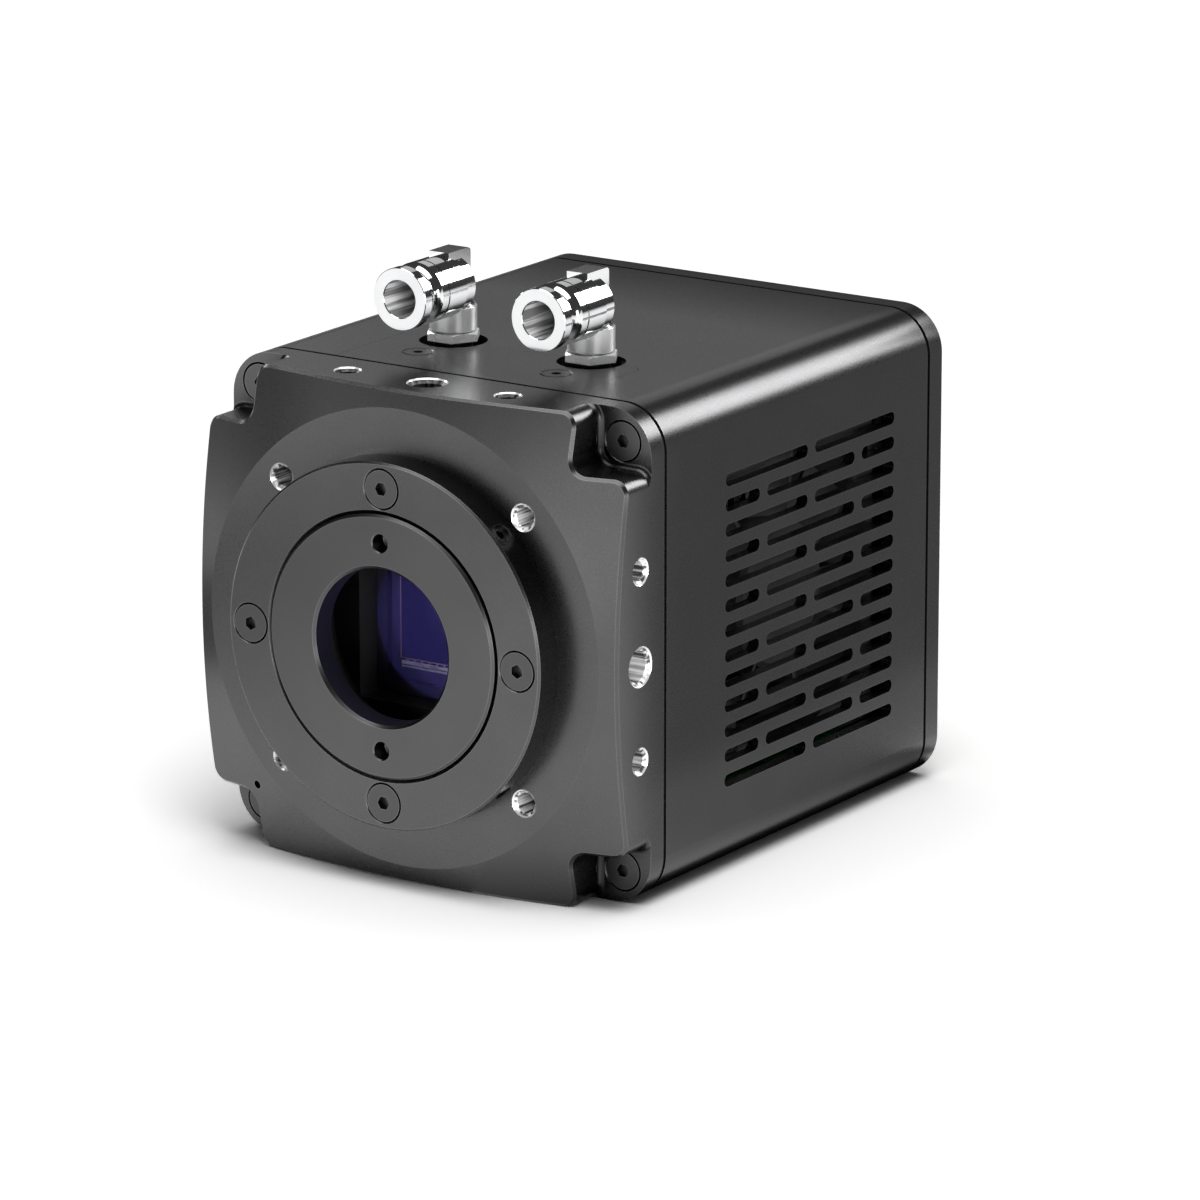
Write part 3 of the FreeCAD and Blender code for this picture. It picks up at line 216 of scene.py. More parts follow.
class Shader:
    """One material: its Principled shader, and short ways to wire nodes into it."""

    def __init__(self, name, colour, roughness, metallic=0.0, **sockets):
        self.material = bpy.data.materials.new(name)
        self.material.use_nodes = True
        self.tree = self.material.node_tree
        self.bsdf = self.tree.nodes["Principled BSDF"]
        self.set("Base Color", (*colour, 1.0))
        self.set("Roughness", roughness)
        self.set("Metallic", metallic)
        for socket, value in sockets.items():
            self.set(socket.replace("_", " ").title().replace("Ior", "IOR"), value)

    def set(self, socket, value):
        self.bsdf.inputs[socket].default_value = value

    def node(self, kind, **settings):
        node = self.tree.nodes.new(kind)
        for key, value in settings.items():
            if key in node.inputs:
                node.inputs[key].default_value = value
            else:
                setattr(node, key, value)
        return node

    def link(self, start, end):
        self.tree.links.new(start, end)

    def place(self, stretch=(1, 1, 1)):
        """Object coordinates, stretched."""
        mapping = self.node("ShaderNodeMapping", Scale=stretch)
        self.link(self.node("ShaderNodeTexCoord").outputs["Object"], mapping.inputs["Vector"])
        return mapping.outputs["Vector"]

    def noise(self, size_mm, detail=4.0, stretch=(1, 1, 1)):
        texture = self.node("ShaderNodeTexNoise", Scale=1 / (size_mm * MM), Detail=detail)
        self.link(self.place(stretch), texture.inputs["Vector"])
        return texture.outputs["Fac"]

    def ramp(self, value, start, end, low, high):
        """A value that runs from low to high while another runs from start to end."""
        span = self.node("ShaderNodeMapRange")
        for index, number in enumerate((start, end, low, high), start=1):
            span.inputs[index].default_value = number
        self.link(value, span.inputs[0])
        return span.outputs[0]

    def spread(self, value, low, high):
        """A 0 to 1 value, spread over low to high; noise sits near its middle, so the span is cut."""
        return self.ramp(value, 0.3, 0.7, low, high)

    def part(self, output, letter):
        """One part of a texture coordinate."""
        parts = self.node("ShaderNodeSeparateXYZ")
        self.link(self.node("ShaderNodeTexCoord").outputs[output], parts.inputs["Vector"])
        return parts.outputs[letter]

    def above(self, height, blend):
        """0 below a height in millimetres, 1 above it, blended over a short way."""
        return self.ramp(self.part("Object", "Z"), (height - blend) * MM, height * MM, 0.0, 1.0)

    def tint(self, value, dark, light):
        mix = self.node("ShaderNodeMix", data_type="RGBA")
        mix.inputs[6].default_value = (*dark, 1.0)
        mix.inputs[7].default_value = (*light, 1.0)
        self.link(value, mix.inputs[0])
        self.link(mix.outputs[2], self.bsdf.inputs["Base Color"])

    def painted_edge_highlight(self, highlight):
        """Painted highlight: a paler line where two faces meet, on convex and concave edges alike, found
        where a rounded normal differs from the face's own.
        """
        rounded = self.node("ShaderNodeBevel", samples=4, Radius=EDGE_WIDTH * MM)
        product = self.node("ShaderNodeVectorMath", operation="DOT_PRODUCT")
        self.link(rounded.outputs["Normal"], product.inputs[0])
        self.link(self.node("ShaderNodeNewGeometry").outputs["Normal"], product.inputs[1])
        edge = self.ramp(product.outputs["Value"], 0.995, 0.9, 0.0, 1.0)
        mix = self.node("ShaderNodeMix", data_type="RGBA")
        self.link(edge, mix.inputs[0])
        self.link(self.bsdf.inputs["Base Color"].links[0].from_socket, mix.inputs[6])
        mix.inputs[7].default_value = (*highlight, 1.0)
        self.link(mix.outputs[2], self.bsdf.inputs["Base Color"])

    def painted_pocket_shade(self, reach_mm, dark):
        """Painted shade: darker in pockets and inner corners, from ambient occlusion."""
        open_air = self.node(
            "ShaderNodeAmbientOcclusion", samples=8, only_local=True, Distance=reach_mm * MM)
        mix = self.node("ShaderNodeMix", data_type="RGBA", blend_type="MULTIPLY")
        mix.inputs[0].default_value = 1.0
        self.link(self.bsdf.inputs["Base Color"].links[0].from_socket, mix.inputs[6])
        self.link(self.ramp(open_air.outputs["AO"], 0.45, 0.9, dark, 1.0), mix.inputs[7])
        self.link(mix.outputs[2], self.bsdf.inputs["Base Color"])

    def bump(self, value, height_mm, strength=1.0):
        bump = self.node("ShaderNodeBump", Strength=strength, Distance=height_mm * MM)
        self.link(value, bump.inputs["Height"])
        self.link(bump.outputs["Normal"], self.bsdf.inputs["Normal"])

    def vary(self, socket, value, low, high):
        self.link(self.spread(value, low, high), self.bsdf.inputs[socket])


def shaded(colour, by):
    return tuple(part * by for part in colour)


def anodised(name, colour=(0.092, 0.092, 0.0935), roughness=0.29, metallic=1.0, shade_pockets=False):
    """Bead-blasted aluminium under a dark anodised layer, which keeps the metal's sheen."""
    shader = Shader(name, colour, roughness, metallic=metallic)
    grain = shader.noise(0.25, detail=3.0)
    cloud = shader.noise(14.0, detail=2.0)
    shader.tint(shader.spread(cloud, 0.0, 1.0), shaded(colour, 0.95), shaded(colour, 1.05))
    # Painted highlight along every edge
    shader.painted_edge_highlight(shaded(colour, EDGE_HIGHLIGHT))
    # Painted shade in the pockets and inner corners
    if shade_pockets:
        shader.painted_pocket_shade(POCKET_REACH, POCKET_SHADE)
    shader.vary("Roughness", grain, roughness - 0.03, roughness + 0.03)
    shader.bump(grain, 0.004, 0.5)
    return shader.material


def frame_with_painted_shade(name, colour):
    """Grey frame whose faces towards the lens are painted near black: painted shade, where the insert
    and retainer keep light off them.
    """
    shader = Shader(name, colour, 0.5)
    # Faces towards the lens painted near black: painted shade
    bare = shader.ramp(shader.part("Normal", "Y"), -0.9, -0.5, 0.0, 1.0)
    shader.tint(bare, shaded(colour, 0.02), colour)
    shader.bump(shader.noise(0.25, detail=3.0), 0.004, 0.5)
    return shader.material


def bright_metal(name):
    """Freshly cut aluminium with fine turning marks."""
    colour = (0.93, 0.93, 0.94)
    shader = Shader(name, colour, 0.2, metallic=0.5)
    marks = shader.noise(0.2, detail=2.0)
    shader.vary("Roughness", marks, 0.15, 0.25)
    shader.tint(shader.spread(marks, 0.0, 1.0), shaded(colour, 0.9), colour)
    return shader.material


def chrome(name):
    """Bright chromium plate."""
    shader = Shader(name, CHROME, CHROME_ROUGH, metallic=1.0)
    haze = shader.noise(3.0, detail=3.0)
    shader.vary("Roughness", haze, CHROME_ROUGH - 0.02, CHROME_ROUGH + 0.02)
    shader.tint(shader.spread(haze, 0.0, 1.0), shaded(CHROME, 0.96), CHROME)
    return shader.material


def half_polished(name):
    """Chromium plate that is bright on the barrel and satin on the stem under it."""
    shader = Shader(name, CHROME, CHROME_ROUGH, metallic=1.0)
    polished = shader.above(STEM_TOP, 0.6)
    shader.tint(polished, SATIN, CHROME)
    for socket, dull, bright in (
            ("Metallic", SATIN_METALLIC, 1.0), ("Roughness", SATIN_ROUGH, CHROME_ROUGH)):
        shader.link(shader.ramp(polished, 0.0, 1.0, dull, bright), shader.bsdf.inputs[socket])
    return shader.material


def satin_plate(name):
    """Satin nickel, painted near black under the hexagon: painted shade below it."""
    shader = Shader(name, SATIN, SATIN_ROUGH, metallic=SATIN_METALLIC)
    grain = shader.noise(3.0, detail=3.0)
    shader.vary("Roughness", grain, SATIN_ROUGH - 0.02, SATIN_ROUGH + 0.02)
    # Near black below the hexagon's foot: painted shade
    clear_of_shade = shader.above(HEX_FOOT, 0.1)
    shader.tint(clear_of_shade, shaded(SATIN, 0.015), SATIN)
    return shader.material


def streaked_metal(name, mark_mm, stretch, dark, colour=(0.95, 0.95, 0.96), metallic=0.4):
    """Bright metal with tone streaks along one direction: partly tool marks; in the hole bores and tube
    liners the streaks and the bright colour are also a painted reflection of bright surroundings.
    """
    roughness = 0.29
    shader = Shader(name, colour, roughness, metallic=metallic)
    marks = shader.noise(mark_mm, detail=3.0, stretch=stretch)
    shader.tint(shader.ramp(marks, 0.42, 0.58, 0.0, 1.0), shaded(colour, dark), colour)
    shader.vary("Roughness", marks, roughness - 0.07, roughness + 0.07)
    shader.bump(marks, 0.02, 0.3)
    return shader.material


def rubber(name):
    colour = (0.012, 0.012, 0.012)
    shader = Shader(name, colour, 0.7)
    grain = shader.noise(0.3)
    shader.tint(shader.spread(grain, 0.0, 1.0), shaded(colour, 0.7), shaded(colour, 1.4))
    shader.bump(grain, 0.01, 0.4)
    return shader.material


def coated_window(name):
    """Clear window: only the violet reflection of its coating shows."""
    shader = Shader(name, (0.16, 0.13, 0.75), 0.07, metallic=1.0, alpha=0.035)
    haze = shader.noise(9.0)
    shader.tint(shader.spread(haze, 0.0, 1.0), (0.15, 0.12, 0.7), (0.17, 0.14, 0.8))
    return shader.material


def silicon(name, colour):
    shader = Shader(name, colour, 0.12, metallic=1.0)
    cloud = shader.noise(6.0)
    shader.tint(shader.spread(cloud, 0.0, 1.0), shaded(colour, 0.93), shaded(colour, 1.07))
    return shader.material


def ceramic(name, colour):
    shader = Shader(name, colour, 0.5)
    grain = shader.noise(0.4)
    shader.tint(shader.spread(grain, 0.0, 1.0), shaded(colour, 0.9), shaded(colour, 1.1))
    shader.bump(grain, 0.005, 0.4)
    return shader.material


def circuit_board(name):
    """Green solder resist over a net of copper tracks."""
    colour = (0.015, 0.16, 0.025)
    shader = Shader(name, colour, 0.35)
    tracks = shader.node("ShaderNodeTexBrick", Scale=260.0)
    tracks.inputs["Color1"].default_value = (*shaded(colour, 0.8), 1.0)
    tracks.inputs["Color2"].default_value = (*colour, 1.0)
    tracks.inputs["Mortar"].default_value = (*shaded(colour, 1.7), 1.0)
    shader.link(shader.place(), tracks.inputs["Vector"])
    shader.link(tracks.outputs["Color"], shader.bsdf.inputs["Base Color"])
    shader.bump(tracks.outputs["Fac"], 0.03, 0.4)
    return shader.material


def moulded_plastic(name, colour, roughness=0.45):
    shader = Shader(name, colour, roughness)
    grain = shader.noise(0.35)
    shader.tint(shader.spread(grain, 0.0, 1.0), shaded(colour, 0.9), shaded(colour, 1.1))
    shader.vary("Roughness", grain, roughness - 0.05, roughness + 0.05)
    shader.bump(grain, 0.008, 0.4)
    return shader.material


def worn_metal(name, colour, roughness):
    shader = Shader(name, colour, roughness, metallic=1.0)
    grain = shader.noise(0.8)
    shader.tint(shader.spread(grain, 0.0, 1.0), shaded(colour, 0.85), colour)
    shader.vary("Roughness", grain, roughness - 0.06, roughness + 0.08)
    return shader.material


def finish_nodes():
    """Puts a finish on every CAD node, and returns those that added pieces share."""
    gold = worn_metal("port_gold", (0.85, 0.62, 0.25), 0.2)
    nickel = worn_metal("port_nickel", (0.6, 0.6, 0.6), 0.28)
    black = moulded_plastic("port_plastic", (0.02, 0.02, 0.021))
    white = moulded_plastic("connector_plastic", (0.75, 0.78, 0.85), 0.4)
    alumina = ceramic("alumina", (0.8, 0.8, 0.77))
    brass = worn_metal("post_brass", (0.72, 0.55, 0.28), 0.3)
    looks = {
        anodised("satin_anodised"): ["shell", "rear_plate", "port_panel", "mount_ring"],
        anodised("plate_anodised", shade_pockets=True): ["front_plate"],
        anodised("insert_anodised", (0.090, 0.090, 0.0915), 0.31): ["c_mount_insert"],
        anodised("screw_oxide", (0.082, 0.082, 0.083), 0.35): [
            "ring_screws", "set_screws", "front_corner_screws", "rear_corner_screws", "panel_screws",
            "fan_screws"],
        half_polished("elbow_plate"): ["left_elbow", "right_elbow"],
        chrome("bright_plate"): ["left_release_collar", "right_release_collar"],
        satin_plate("stud_plate"): ["left_stud", "right_stud"],
        rubber("seal_rubber"): [
            "front_gasket", "rear_gasket", "window_seal", "stud_seals",
            "left_tube_seal", "right_tube_seal"],
        coated_window("coated_window"): ["window_glass"],
        anodised("chamber_black", (0.015, 0.015, 0.016), 0.5): ["window_retainer"],
        frame_with_painted_shade("frame_grey", (0.075, 0.074, 0.073)): ["sensor_frame"],
        ceramic("package_ceramic", (0.015, 0.014, 0.018)): ["sensor_package"],
        silicon("sensor_silicon", (0.08, 0.078, 0.115)): ["sensor_die"],
        circuit_board("board_resist"): ["sensor_board", "main_board", "interface_board"],
        worn_metal("cold_copper", (0.72, 0.42, 0.28), 0.3): ["cold_block"],
        alumina: ["thermoelectric_cooler"],
        worn_metal("exchanger_aluminium", (0.35, 0.35, 0.36), 0.35): ["heat_exchanger"],
        moulded_plastic("fan_plastic", (0.14, 0.14, 0.144)): ["fan_frame", "fan_rotor"],
        brass: ["cooler_posts", "main_board_posts", "interface_board_posts"],
        white: ["board_connector", "fan_header"],
        nickel: ["data_port"],
        black: ["power_jack"],
        gold: ["trigger_ports"],
        moulded_plastic("light_pipe", (0.15, 0.6, 0.2), 0.25): ["status_light"],
    }
    for material, names in looks.items():
        for name in names:
            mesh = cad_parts[name].data
            mesh.materials.clear()
            mesh.materials.append(material)
    return {"gold": gold, "nickel": nickel, "black": black, "white": white, "alumina": alumina}


def ring_strip(bm, matrix, rings, segments=48, smooth=True):
    """Skin about local Z through rings of (radius, height); either may depend on the angle.

    It faces outwards where the rings rise, and the axis where they fall."""
    def at(value, angle):
        return value(angle) if callable(value) else value

    rows = []
    for radius, height in rings:
        row = []
        for k in range(segments):
            angle = 2 * math.pi * k / segments
            r = at(radius, angle)
            point = Vector((r * math.cos(angle), r * math.sin(angle), at(height, angle)))
            row.append(bm.verts.new(matrix @ (point * MM)))
        rows.append(row)
    for low, high in zip(rows, rows[1:]):
        for k in range(segments):
            nxt = (k + 1) % segments
            bm.faces.new((low[k], low[nxt], high[nxt], high[k])).smooth = smooth


def turned(bm, matrix, profile, segments=48):
    """Ring strips between neighbouring (radius, height) points, with a sharp edge at each point."""
    for ends in zip(profile, profile[1:]):
        ring_strip(bm, matrix, ends, segments)


def slab(bm, x, y, z, bevel=0.0, matrix=Matrix()):
    """Block between two ends along each axis, in millimetres, with bevelled edges."""
    ends = [sorted(pair) for pair in (x, y, z)]
    size = Matrix.Diagonal([(high - low) * MM for low, high in ends] + [1])
    middle = Vector([(low + high) / 2 * MM for low, high in ends])
    made = bmesh.ops.create_cube(bm, size=1, matrix=matrix @ Matrix.Translation(middle) @ size)
    if bevel:
        edges = {edge for vert in made["verts"] for edge in vert.link_edges}
        bmesh.ops.bevel(bm, geom=list(edges), offset=bevel * MM, segments=2, affect="EDGES", profile=0.5)


def ribbon(bm, matrix, path, across, half_width, thickness):
    """Bent strip of metal along a path of points in the plane at right angles to across."""
    rows = []
    for index, point in enumerate(path):
        before = path[max(index - 1, 0)]
        after = path[min(index + 1, len(path) - 1)]
        normal = (after - before).cross(across).normalized() * thickness / 2
        side = across * half_width
        corners = [
            point + side + normal, point - side + normal, point - side - normal, point + side - normal]
        rows.append([bm.verts.new(matrix @ (corner * MM)) for corner in corners])
    for low, high in zip(rows, rows[1:]):
        for k in range(4):
            nxt = (k + 1) % 4
            bm.faces.new((low[k], low[nxt], high[nxt], high[k]))
    bm.faces.new(rows[0][::-1])
    bm.faces.new(rows[-1])


def hole_frame(at, outward):
    """Matrix whose local Z points outwards from a place given in millimetres."""
    turn = outward.to_track_quat("Z", "Y").to_matrix().to_4x4()
    return Matrix.Translation(at * MM) @ turn


def dress(name, bm, material, body):
    """Makes an added piece of a bmesh and lets it ride on a body."""
    mesh = bpy.data.meshes.new(name)
    bmesh.ops.recalc_face_normals(bm, faces=[face for face in bm.faces if not face.smooth])
    bm.to_mesh(mesh)
    bm.free()
    mesh.materials.append(material)
    obj = new_object(name, mesh)
    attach(obj, body)
    return obj


def tapped_holes():
    """Place, outward direction and size of each tapped hole in the front plate."""
    for a in (-1, 1):
        for b in (-1, 1):
            yield Vector((a * FRONT_HOLE_AT, FLAT_Y, b * FRONT_HOLE_AT)), Vector((0, -1, 0)), TAP
    for outward in (Vector((1, 0, 0)), Vector((-1, 0, 0)), Vector((0, 0, 1)), Vector((0, 0, -1))):
        along = Vector((abs(outward.z), 0, abs(outward.x)))
        for step, size in ((-1, TAP), (0, TRIPOD), (1, TAP)):
            at = outward * BODY_HALF + along * step * SIDE_HOLE_PITCH + Vector((0, SIDE_HOLE_Y, 0))
            yield at, outward, size


def bright_holes():
    """Bare metal mouths and bores of the tapped holes, which were cut after anodising."""
    mouths = bmesh.new()
    bores = {"x": bmesh.new(), "y": bmesh.new(), "z": bmesh.new()}
    for at, outward, size in tapped_holes():
        bore = size["bore"] - SKIN
        mouth = size["mouth"] - SKIN
        step = bore - mouth
        tip = -size["depth"]
        matrix = hole_frame(at, outward)
        lip = (mouth - LIP, -LIP)
        turned(mouths, matrix, [(mouth, 0), lip])
        turned(mouths, matrix, [(bore, tip + DRILL_TIP), (DRILL_END, tip)])
        axis = max("xyz", key=lambda letter: abs(getattr(outward, letter)))
        turned(bores[axis], matrix, [lip, (bore, step), (bore, tip + DRILL_TIP)])
    skins = [dress("hole_mouths", mouths, bright_metal("cut_metal"), "housing")]
    for axis, bm in bores.items():
        stretch = [AXIAL_STRETCH if letter == axis else 1 for letter in "xyz"]
        # Bores along Z are near black: painted shade inside those holes
        grey = BORE_SHADE if axis == "z" else BORE_BRIGHT
        cut = streaked_metal(f"drilled_{axis}", 0.7, stretch, 0.08, (grey, grey, grey), metallic=0.3)
        bores[axis] = dress(f"hole_bores_{axis}", bm, cut, "housing")
    return skins + [bores["x"], bores["y"]]


def tube_liners():
    """Drawn inner wall of each release collar, from its lip to the tube stop."""
    # White with dark streaks along the tube: painted reflection streaks, along with drawing marks
    material = streaked_metal("streaked_metal", 1.1, (1, AXIAL_STRETCH, 1), 0.25, metallic=0.0)
    lip, stop = TUBE_Y
    liners = []
    for side, x in (("left", -PORT_X), ("right", PORT_X)):
        bm = bmesh.new()
        matrix = hole_frame(Vector((x, 0, SOCKET_Z)), Vector((0, -1, 0)))
        wall = TUBE_R - SKIN
        turned(bm, matrix, [(wall, -lip), (wall, -stop)])
        liners.append(dress(f"{side}_tube_liner", bm, material, f"{side}_collar"))
    return liners


def lens_bore():
    """Matt black wall of the lens opening; its blue tint is a painted reflection of the violet window.
    """
    bm = bmesh.new()
    front, back = LENS_BORE_Y
    matrix = hole_frame(Vector((0, 0, 0)), Vector((0, -1, 0)))
    wall = LENS_BORE_R - SKIN
    turned(bm, matrix, [(wall, -front), (wall, -back)], LENS_SEGMENTS)
    material = anodised("bore_black", (0.03, 0.029, 0.05), roughness=0.4, metallic=0.35)
    dress("lens_bore", bm, material, "lens_insert")


def die_layers():
    """Metal layers on the sensor's face: shielded columns, seal ring, pads and bus lines."""
    shields = bmesh.new()
    gold = bmesh.new()
    buses = bmesh.new()
    over = (DIE_FACE - LAYER, DIE_FACE + LAYER)
    thin = (DIE_FACE - LAYER / 2, DIE_FACE + LAYER)
    ring_x = DIE_HALF - SEAL_RING_W
    ring_z = SEAL_RING_Z - SEAL_RING_W
    pads = int(2 * DIE_HALF / PAD_PITCH)
    for side in (-1, 1):
        slab(shields, [side * x for x in SHIELD_X], thin, (-ring_z, ring_z))
        slab(gold, (side * ring_x, side * DIE_HALF), over, (-ring_z, ring_z))
        slab(gold, (-DIE_HALF, DIE_HALF), over, (side * ring_z, side * SEAL_RING_Z))
        for k in range(pads):
            x = (k - (pads - 1) / 2) * PAD_PITCH
            slab(gold, (x - PAD_LENGTH / 2, x + PAD_LENGTH / 2), over, [side * z for z in PAD_Z])
        for line in BUS_LINES:
            slab(buses, (-ring_x, ring_x), over, [side * z for z in line])
    grey = silicon("shield_metal", (0.22, 0.215, 0.23))
    dress("die_shields", shields, grey, "housing")
    rose = streaked_metal("seal_ring", 0.1, (1, 1, 1), 0.9, (0.6, 0.42, 0.36))
    dress("die_seal_ring", gold, rose, "housing")
    lilac = streaked_metal("bus_metal", 0.3, (0.1, 1, 1), 0.7, (0.9, 0.88, 0.95))
    dress("die_bus_lines", buses, lilac, "housing")


def chip(bodies, leads, matrix, width, depth, height, pins):
    """Moulded chip on a board, with bent leads along two sides, or along all four if it is square."""
    half = width / 2
    slab(bodies, (-half, half), (-depth / 2, depth / 2), (CHIP_FOOT, height), CHIP_BEVEL, matrix)
    pitch = (depth - CHIP_MARGIN) / (pins - 1)
    knee = (height + CHIP_FOOT) / 2
    bend, drop, toe = (half + out for out in LEAD_BENDS)
    path = [(half, knee), (bend, knee), (drop, LEAD_FOOT), (toe, LEAD_FOOT)]
    sides = 4 if width == depth else 2
    for side in range(sides):
        turn = Matrix.Rotation(math.pi * 2 * side / sides, 4, "Z")
        for k in range(pins):
            y = (k - (pins - 1) / 2) * pitch
            points = [Vector((x, y, z)) for x, z in path]
            ribbon(leads, matrix @ turn, points, Vector((0, 1, 0)), pitch * LEAD_SHARE, LEAD_THICK)


def capacitor(bodies, caps, matrix):
    """Ceramic chip capacitor with a metal cap at each end."""
    slab(bodies, *CAPACITOR_BODY, matrix)
    for side in (-1, 1):
        slab(caps, [side * x for x in CAPACITOR_CAP_X], *CAPACITOR_CAP, matrix)


def board_parts(shared):
    """Chips and capacitors on the two boards behind the vents, and the latch of a connector."""
    bodies = bmesh.new()
    metal = bmesh.new()
    ceramics = bmesh.new()

    def on_main(x, y):
        return hole_frame(Vector((x, y, MAIN_BOARD_TOP)), Vector((0, 0, 1)))

    def on_rear(x, z):
        return hole_frame(Vector((x, REAR_BOARD_FRONT, z)), Vector((0, -1, 0)))

    for x, y, *size in MAIN_CHIPS:
        chip(bodies, metal, on_main(x, y), *size)
    for x, z, *size in REAR_CHIPS:
        chip(bodies, metal, on_rear(x, z), *size)
    for y in MAIN_CAPACITOR_Y:
        for x in MAIN_CAPACITOR_X:
            capacitor(ceramics, metal, on_main(x, y))
    for z in REAR_CAPACITOR_Z:
        for x in REAR_CAPACITOR_X:
            capacitor(ceramics, metal, on_rear(x, z))
    dress("board_chips", bodies, shared["black"], "housing")
    dress("board_leads", metal, shared["nickel"], "housing")
    tan = ceramic("capacitor_ceramic", (0.5, 0.4, 0.28))
    dress("board_capacitors", ceramics, tan, "housing")
    latch = bmesh.new()
    for x, y, heights in LATCH:
        slab(latch, x, y, [MAIN_BOARD_TOP + height for height in heights], LATCH_BEVEL)
    dress("connector_latch", latch, shared["white"], "housing")


def rear_contacts(shared):
    """Contacts on the data port's tongue and the power jack's pin."""
    contacts = bmesh.new()
    root, tip = DATA_TONGUE_Y
    inner, outer = CONTACT_ENDS
    for side in (-1, 1):
        z = DATA_PORT_Z + side * DATA_TONGUE_HALF_Z
        for x in CONTACT_X:
            slab(contacts, (x - CONTACT_HALF, x + CONTACT_HALF), (root + inner, tip - outer),
                 (z - CONTACT_SUNK, z + side * CONTACT_PROUD), CONTACT_BEVEL)
    dress("data_contacts", contacts, shared["gold"], "housing")
    pin = bmesh.new()
    x, z = POWER_PORT
    root, tip = POWER_PIN_Y
    r = POWER_PIN_R + SKIN
    nose = [(r - inset, tip - back) for inset, back in POWER_PIN_NOSE]
    profile = [(r, root), *nose, (AXIS_R, tip + SKIN)]
    turned(pin, hole_frame(Vector((x, 0, z)), Vector((0, 1, 0))), profile)
    dress("power_pin", pin, shared["nickel"], "housing")


def hex_radius(angle):
    """Distance from the nut's axis to its flats, at an angle."""
    sixth = math.pi / 3
    return NUT_HALF / math.cos((angle + sixth / 2) % sixth - sixth / 2)


def nut_shoulder(angle):
    """Height at which the nut's turned bevel meets its flats."""
    corner = NUT_HALF / math.cos(math.pi / 6)
    return NUT_TOP - NUT_BEVEL * (hex_radius(angle) - NUT_HALF) / (corner - NUT_HALF)


def trigger_ports(shared):
    """The four coaxial trigger ports, with the thread that the CAD barrels leave plain."""
    bm = bmesh.new()
    start = NUT_TOP - THREAD_PITCH
    end = TRIGGER_END - THREAD_RELIEF
    turns = (end - start) / THREAD_PITCH
    root = TRIGGER_THREAD_R - THREAD_DEPTH

    def flank(height):
        """Radius of the thread at a height, as a function of the angle."""
        def radius(angle):
            phase = (height / THREAD_PITCH - angle / (2 * math.pi)) % 1
            return TRIGGER_THREAD_R - THREAD_DEPTH * abs(2 * phase - 1)
        return radius

    heights = [start + k * THREAD_PITCH / THREAD_STEPS for k in range(int(turns * THREAD_STEPS))]
    thread = [(flank(height), height) for height in heights] + [(root, end)]
    mouth = [
        (root, end), (root, TRIGGER_END),
        (TRIGGER_BORE_R, TRIGGER_END), (TRIGGER_BORE_R, TRIGGER_FLOOR),
        (TRIGGER_PIN_R, TRIGGER_FLOOR), (TRIGGER_PIN_R, TRIGGER_PIN_END - PIN_CHAMFER),
        (TRIGGER_PIN_R - PIN_CHAMFER, TRIGGER_PIN_END), (AXIS_R, TRIGGER_PIN_END),
    ]
    body = [(AXIS_R, TRIGGER_BACK), (TRIGGER_BODY_R, TRIGGER_BACK), (TRIGGER_BODY_R, TRIGGER_SEAT)]
    nut = [
        ((hex_radius, TRIGGER_SEAT), (hex_radius, nut_shoulder)),
        ((hex_radius, nut_shoulder), (NUT_HALF, NUT_TOP)),
        ((NUT_HALF, NUT_TOP), (root, NUT_TOP)),
    ]
    for x in TRIGGER_X:
        matrix = hole_frame(Vector((x, 0, TRIGGER_Z)), Vector((0, 1, 0)))
        turned(bm, matrix, body)
        for ends in nut:
            ring_strip(bm, matrix, ends, NUT_SEGMENTS, smooth=False)
        ring_strip(bm, matrix, thread)
        turned(bm, matrix, mouth)
    ports = dress("threaded_trigger_ports", bm, shared["gold"], "housing")
    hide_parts("trigger_ports")


def make_floor():
    """Pale floor; the camera and the reflections see a whiter colour, and the shadow is kept.

    What the camera sees grows whiter away from the object, where the lamps light the floor less."""
    mesh = bpy.data.meshes.new("floor")
    half = FLOOR_HALF
    corners = [(-half, -half, 0), (half, -half, 0), (half, half, 0), (-half, half, 0)]
    mesh.from_pydata(corners, [], [(0, 1, 2, 3)])
    floor = new_object("floor", mesh)
    floor.location.z = FLOOR_Z * MM
    shader = Shader("floor_paper", FLOOR_COLOUR, MATT, specular_ior_level=0.0)
    away = shader.node("ShaderNodeVectorMath", operation="LENGTH")
    shader.link(shader.place(), away.inputs[0])
    seen = shader.ramp(away.outputs["Value"], *FLOOR_FAR, FLOOR_SEEN, FLOOR_SEEN_FAR)
    rays = shader.node("ShaderNodeLightPath").outputs
    colour = shader.bsdf.inputs["Base Color"]
    for ray in ("Is Camera Ray", "Is Glossy Ray", "Is Transmission Ray"):
        mix = shader.node("ShaderNodeMix", data_type="RGBA")
        mix.inputs[6].default_value = (*FLOOR_COLOUR, 1.0)
        mix.inputs[7].default_value = (FLOOR_MIRRORED, FLOOR_MIRRORED, FLOOR_MIRRORED, 1.0)
        shader.link(rays[ray], mix.inputs[0])
        if colour.links:
            shader.link(colour.links[0].from_socket, mix.inputs[6])
        else:
            shader.link(seen, mix.inputs[7])
        shader.link(mix.outputs[2], colour)
    mesh.materials.append(shader.material)
    return floor


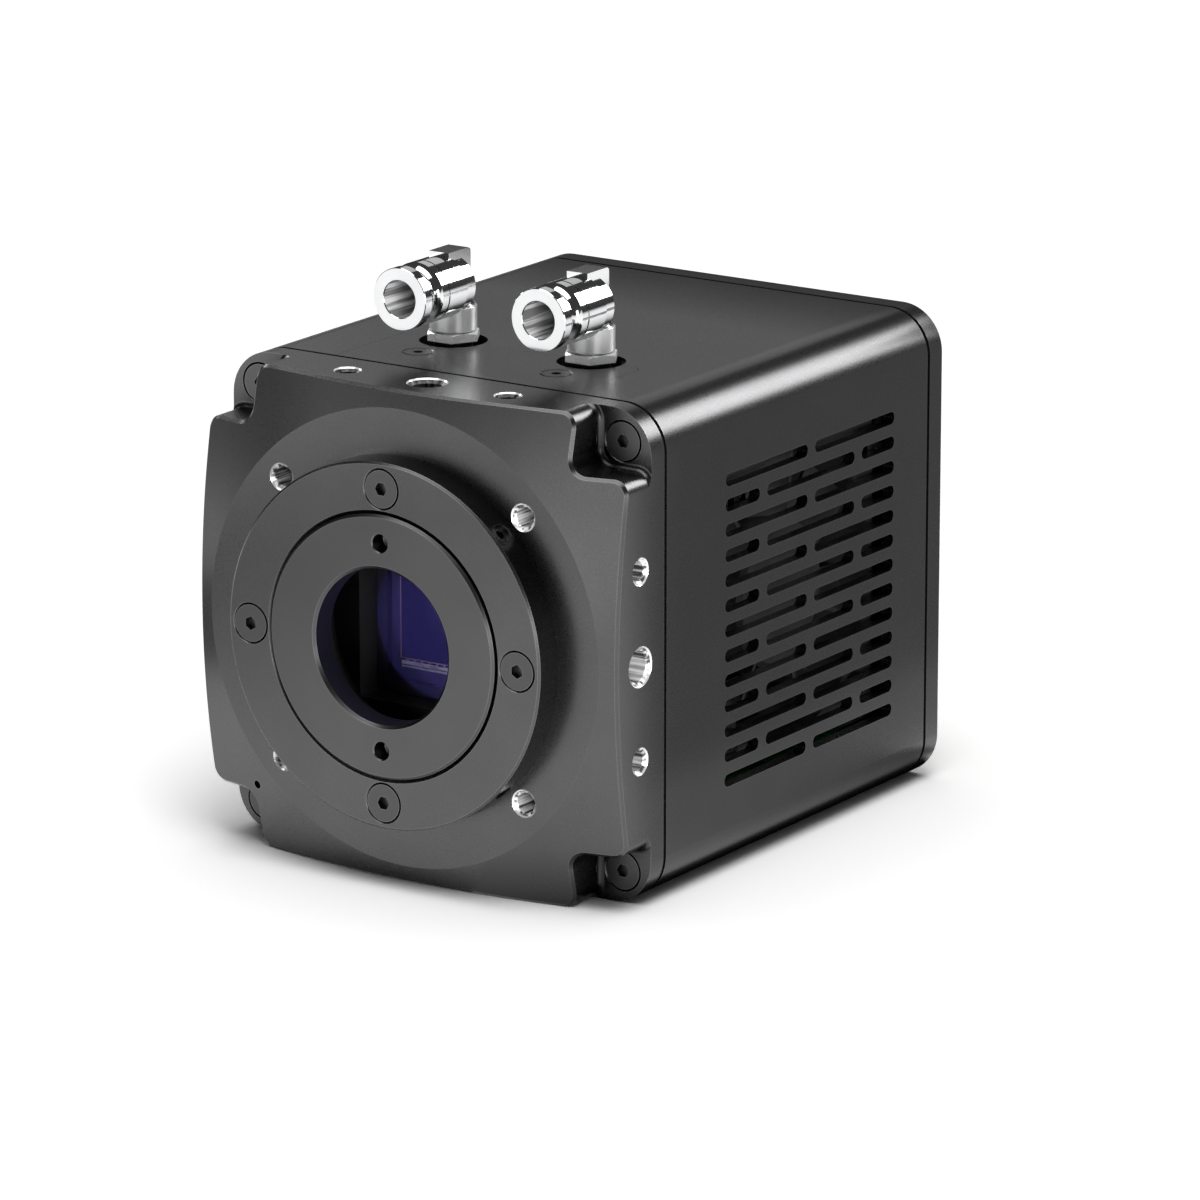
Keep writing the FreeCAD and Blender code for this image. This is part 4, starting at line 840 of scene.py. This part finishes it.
def make_cards():
    """Dim glowing cards and strips round the object.

    They are seen only in its reflections, where they hide the white floor: painted reflections, with the
    unlit contact strip a painted shadow under the object's edge."""
    for name, (start, end, radiance, end_radiance) in CARDS.items():
        mesh = bpy.data.meshes.new(name)
        (x, y, z), (x_end, y_end, z_end) = start, end
        if y == y_end:
            corners = [start, (x_end, y, z), end, (x, y, z_end)]
        else:
            corners = [start, (x, y_end, z), end, (x_end, y, z_end)]
        mesh.from_pydata([Vector(corner) * MM for corner in corners], [], [(0, 1, 2, 3)])
        glow = Shader(
            f"{name}_glow", BLACK, MATT, emission_color=(*WHITE, 1.0), emission_strength=radiance)
        glow.set("Specular IOR Level", 0.0)
        if end_radiance != radiance:
            along = glow.ramp(glow.part("Object", "Y"), y * MM, y_end * MM, radiance, end_radiance)
            glow.link(along, glow.bsdf.inputs["Emission Strength"])
        mesh.materials.append(glow.material)
        card = new_object(name, mesh)
        card.visible_camera = False
        card.visible_diffuse = False
        card.visible_shadow = False


def light_groups(floor, metal):
    """Collections that let a lamp light only the floor, all but the floor, or only the bare metal."""
    groups = {}
    for name, members, state in (
            ("floor", [floor], "INCLUDE"), ("object", [floor], "EXCLUDE"), ("metal", metal, "INCLUDE")):
        group = bpy.data.collections.new(f"{name}_lamps_light")
        for member in members:
            group.objects.link(member)
        for link in group.collection_objects:
            link.light_linking.link_state = state
        groups[name] = group
    return groups


def make_light(floor, metal):
    world = bpy.data.worlds.new("studio")
    bpy.context.scene.world = world
    world.use_nodes = True
    background = world.node_tree.nodes["Background"]
    background.inputs["Color"].default_value = (*WHITE, 1.0)
    background.inputs["Strength"].default_value = WORLD_LEVEL
    groups = light_groups(floor, metal)
    centre = Vector(STUDIO_CENTRE)
    for name, (azimuth, elevation, distance, width, height, radiance, lit) in SOFTBOXES.items():
        lamp = bpy.data.lights.new(name, "AREA")
        lamp.shape = "RECTANGLE"
        lamp.size = width
        lamp.size_y = height
        lamp.energy = radiance * math.pi * width * height
        obj = new_object(name, lamp)
        outward = direction(azimuth, elevation)
        obj.location = centre + outward * distance
        obj.visible_camera = False
        obj.rotation_mode = "QUATERNION"
        obj.rotation_quaternion = (-outward).to_track_quat("-Z", "Y")
        obj.light_linking.receiver_collection = groups[lit]


def make_camera():
    back = direction(CAMERA_AZIMUTH, CAMERA_ELEVATION)
    data = bpy.data.cameras.new("camera")
    data.lens = CAMERA_LENS
    camera = new_object("camera", data)
    camera.location = Vector(CAMERA_AT) * MM
    camera.rotation_mode = "QUATERNION"
    camera.rotation_quaternion = (-back).to_track_quat("-Z", "Y")
    bpy.context.scene.camera = camera


shared_finishes = finish_nodes()
bare_skins = bright_holes() + tube_liners()
lens_bore()
die_layers()
board_parts(shared_finishes)
rear_contacts(shared_finishes)
trigger_ports(shared_finishes)
studio_floor = make_floor()
make_cards()
make_light(studio_floor, bare_skins)
make_camera()
bpy.context.scene.view_settings.view_transform = "Standard"
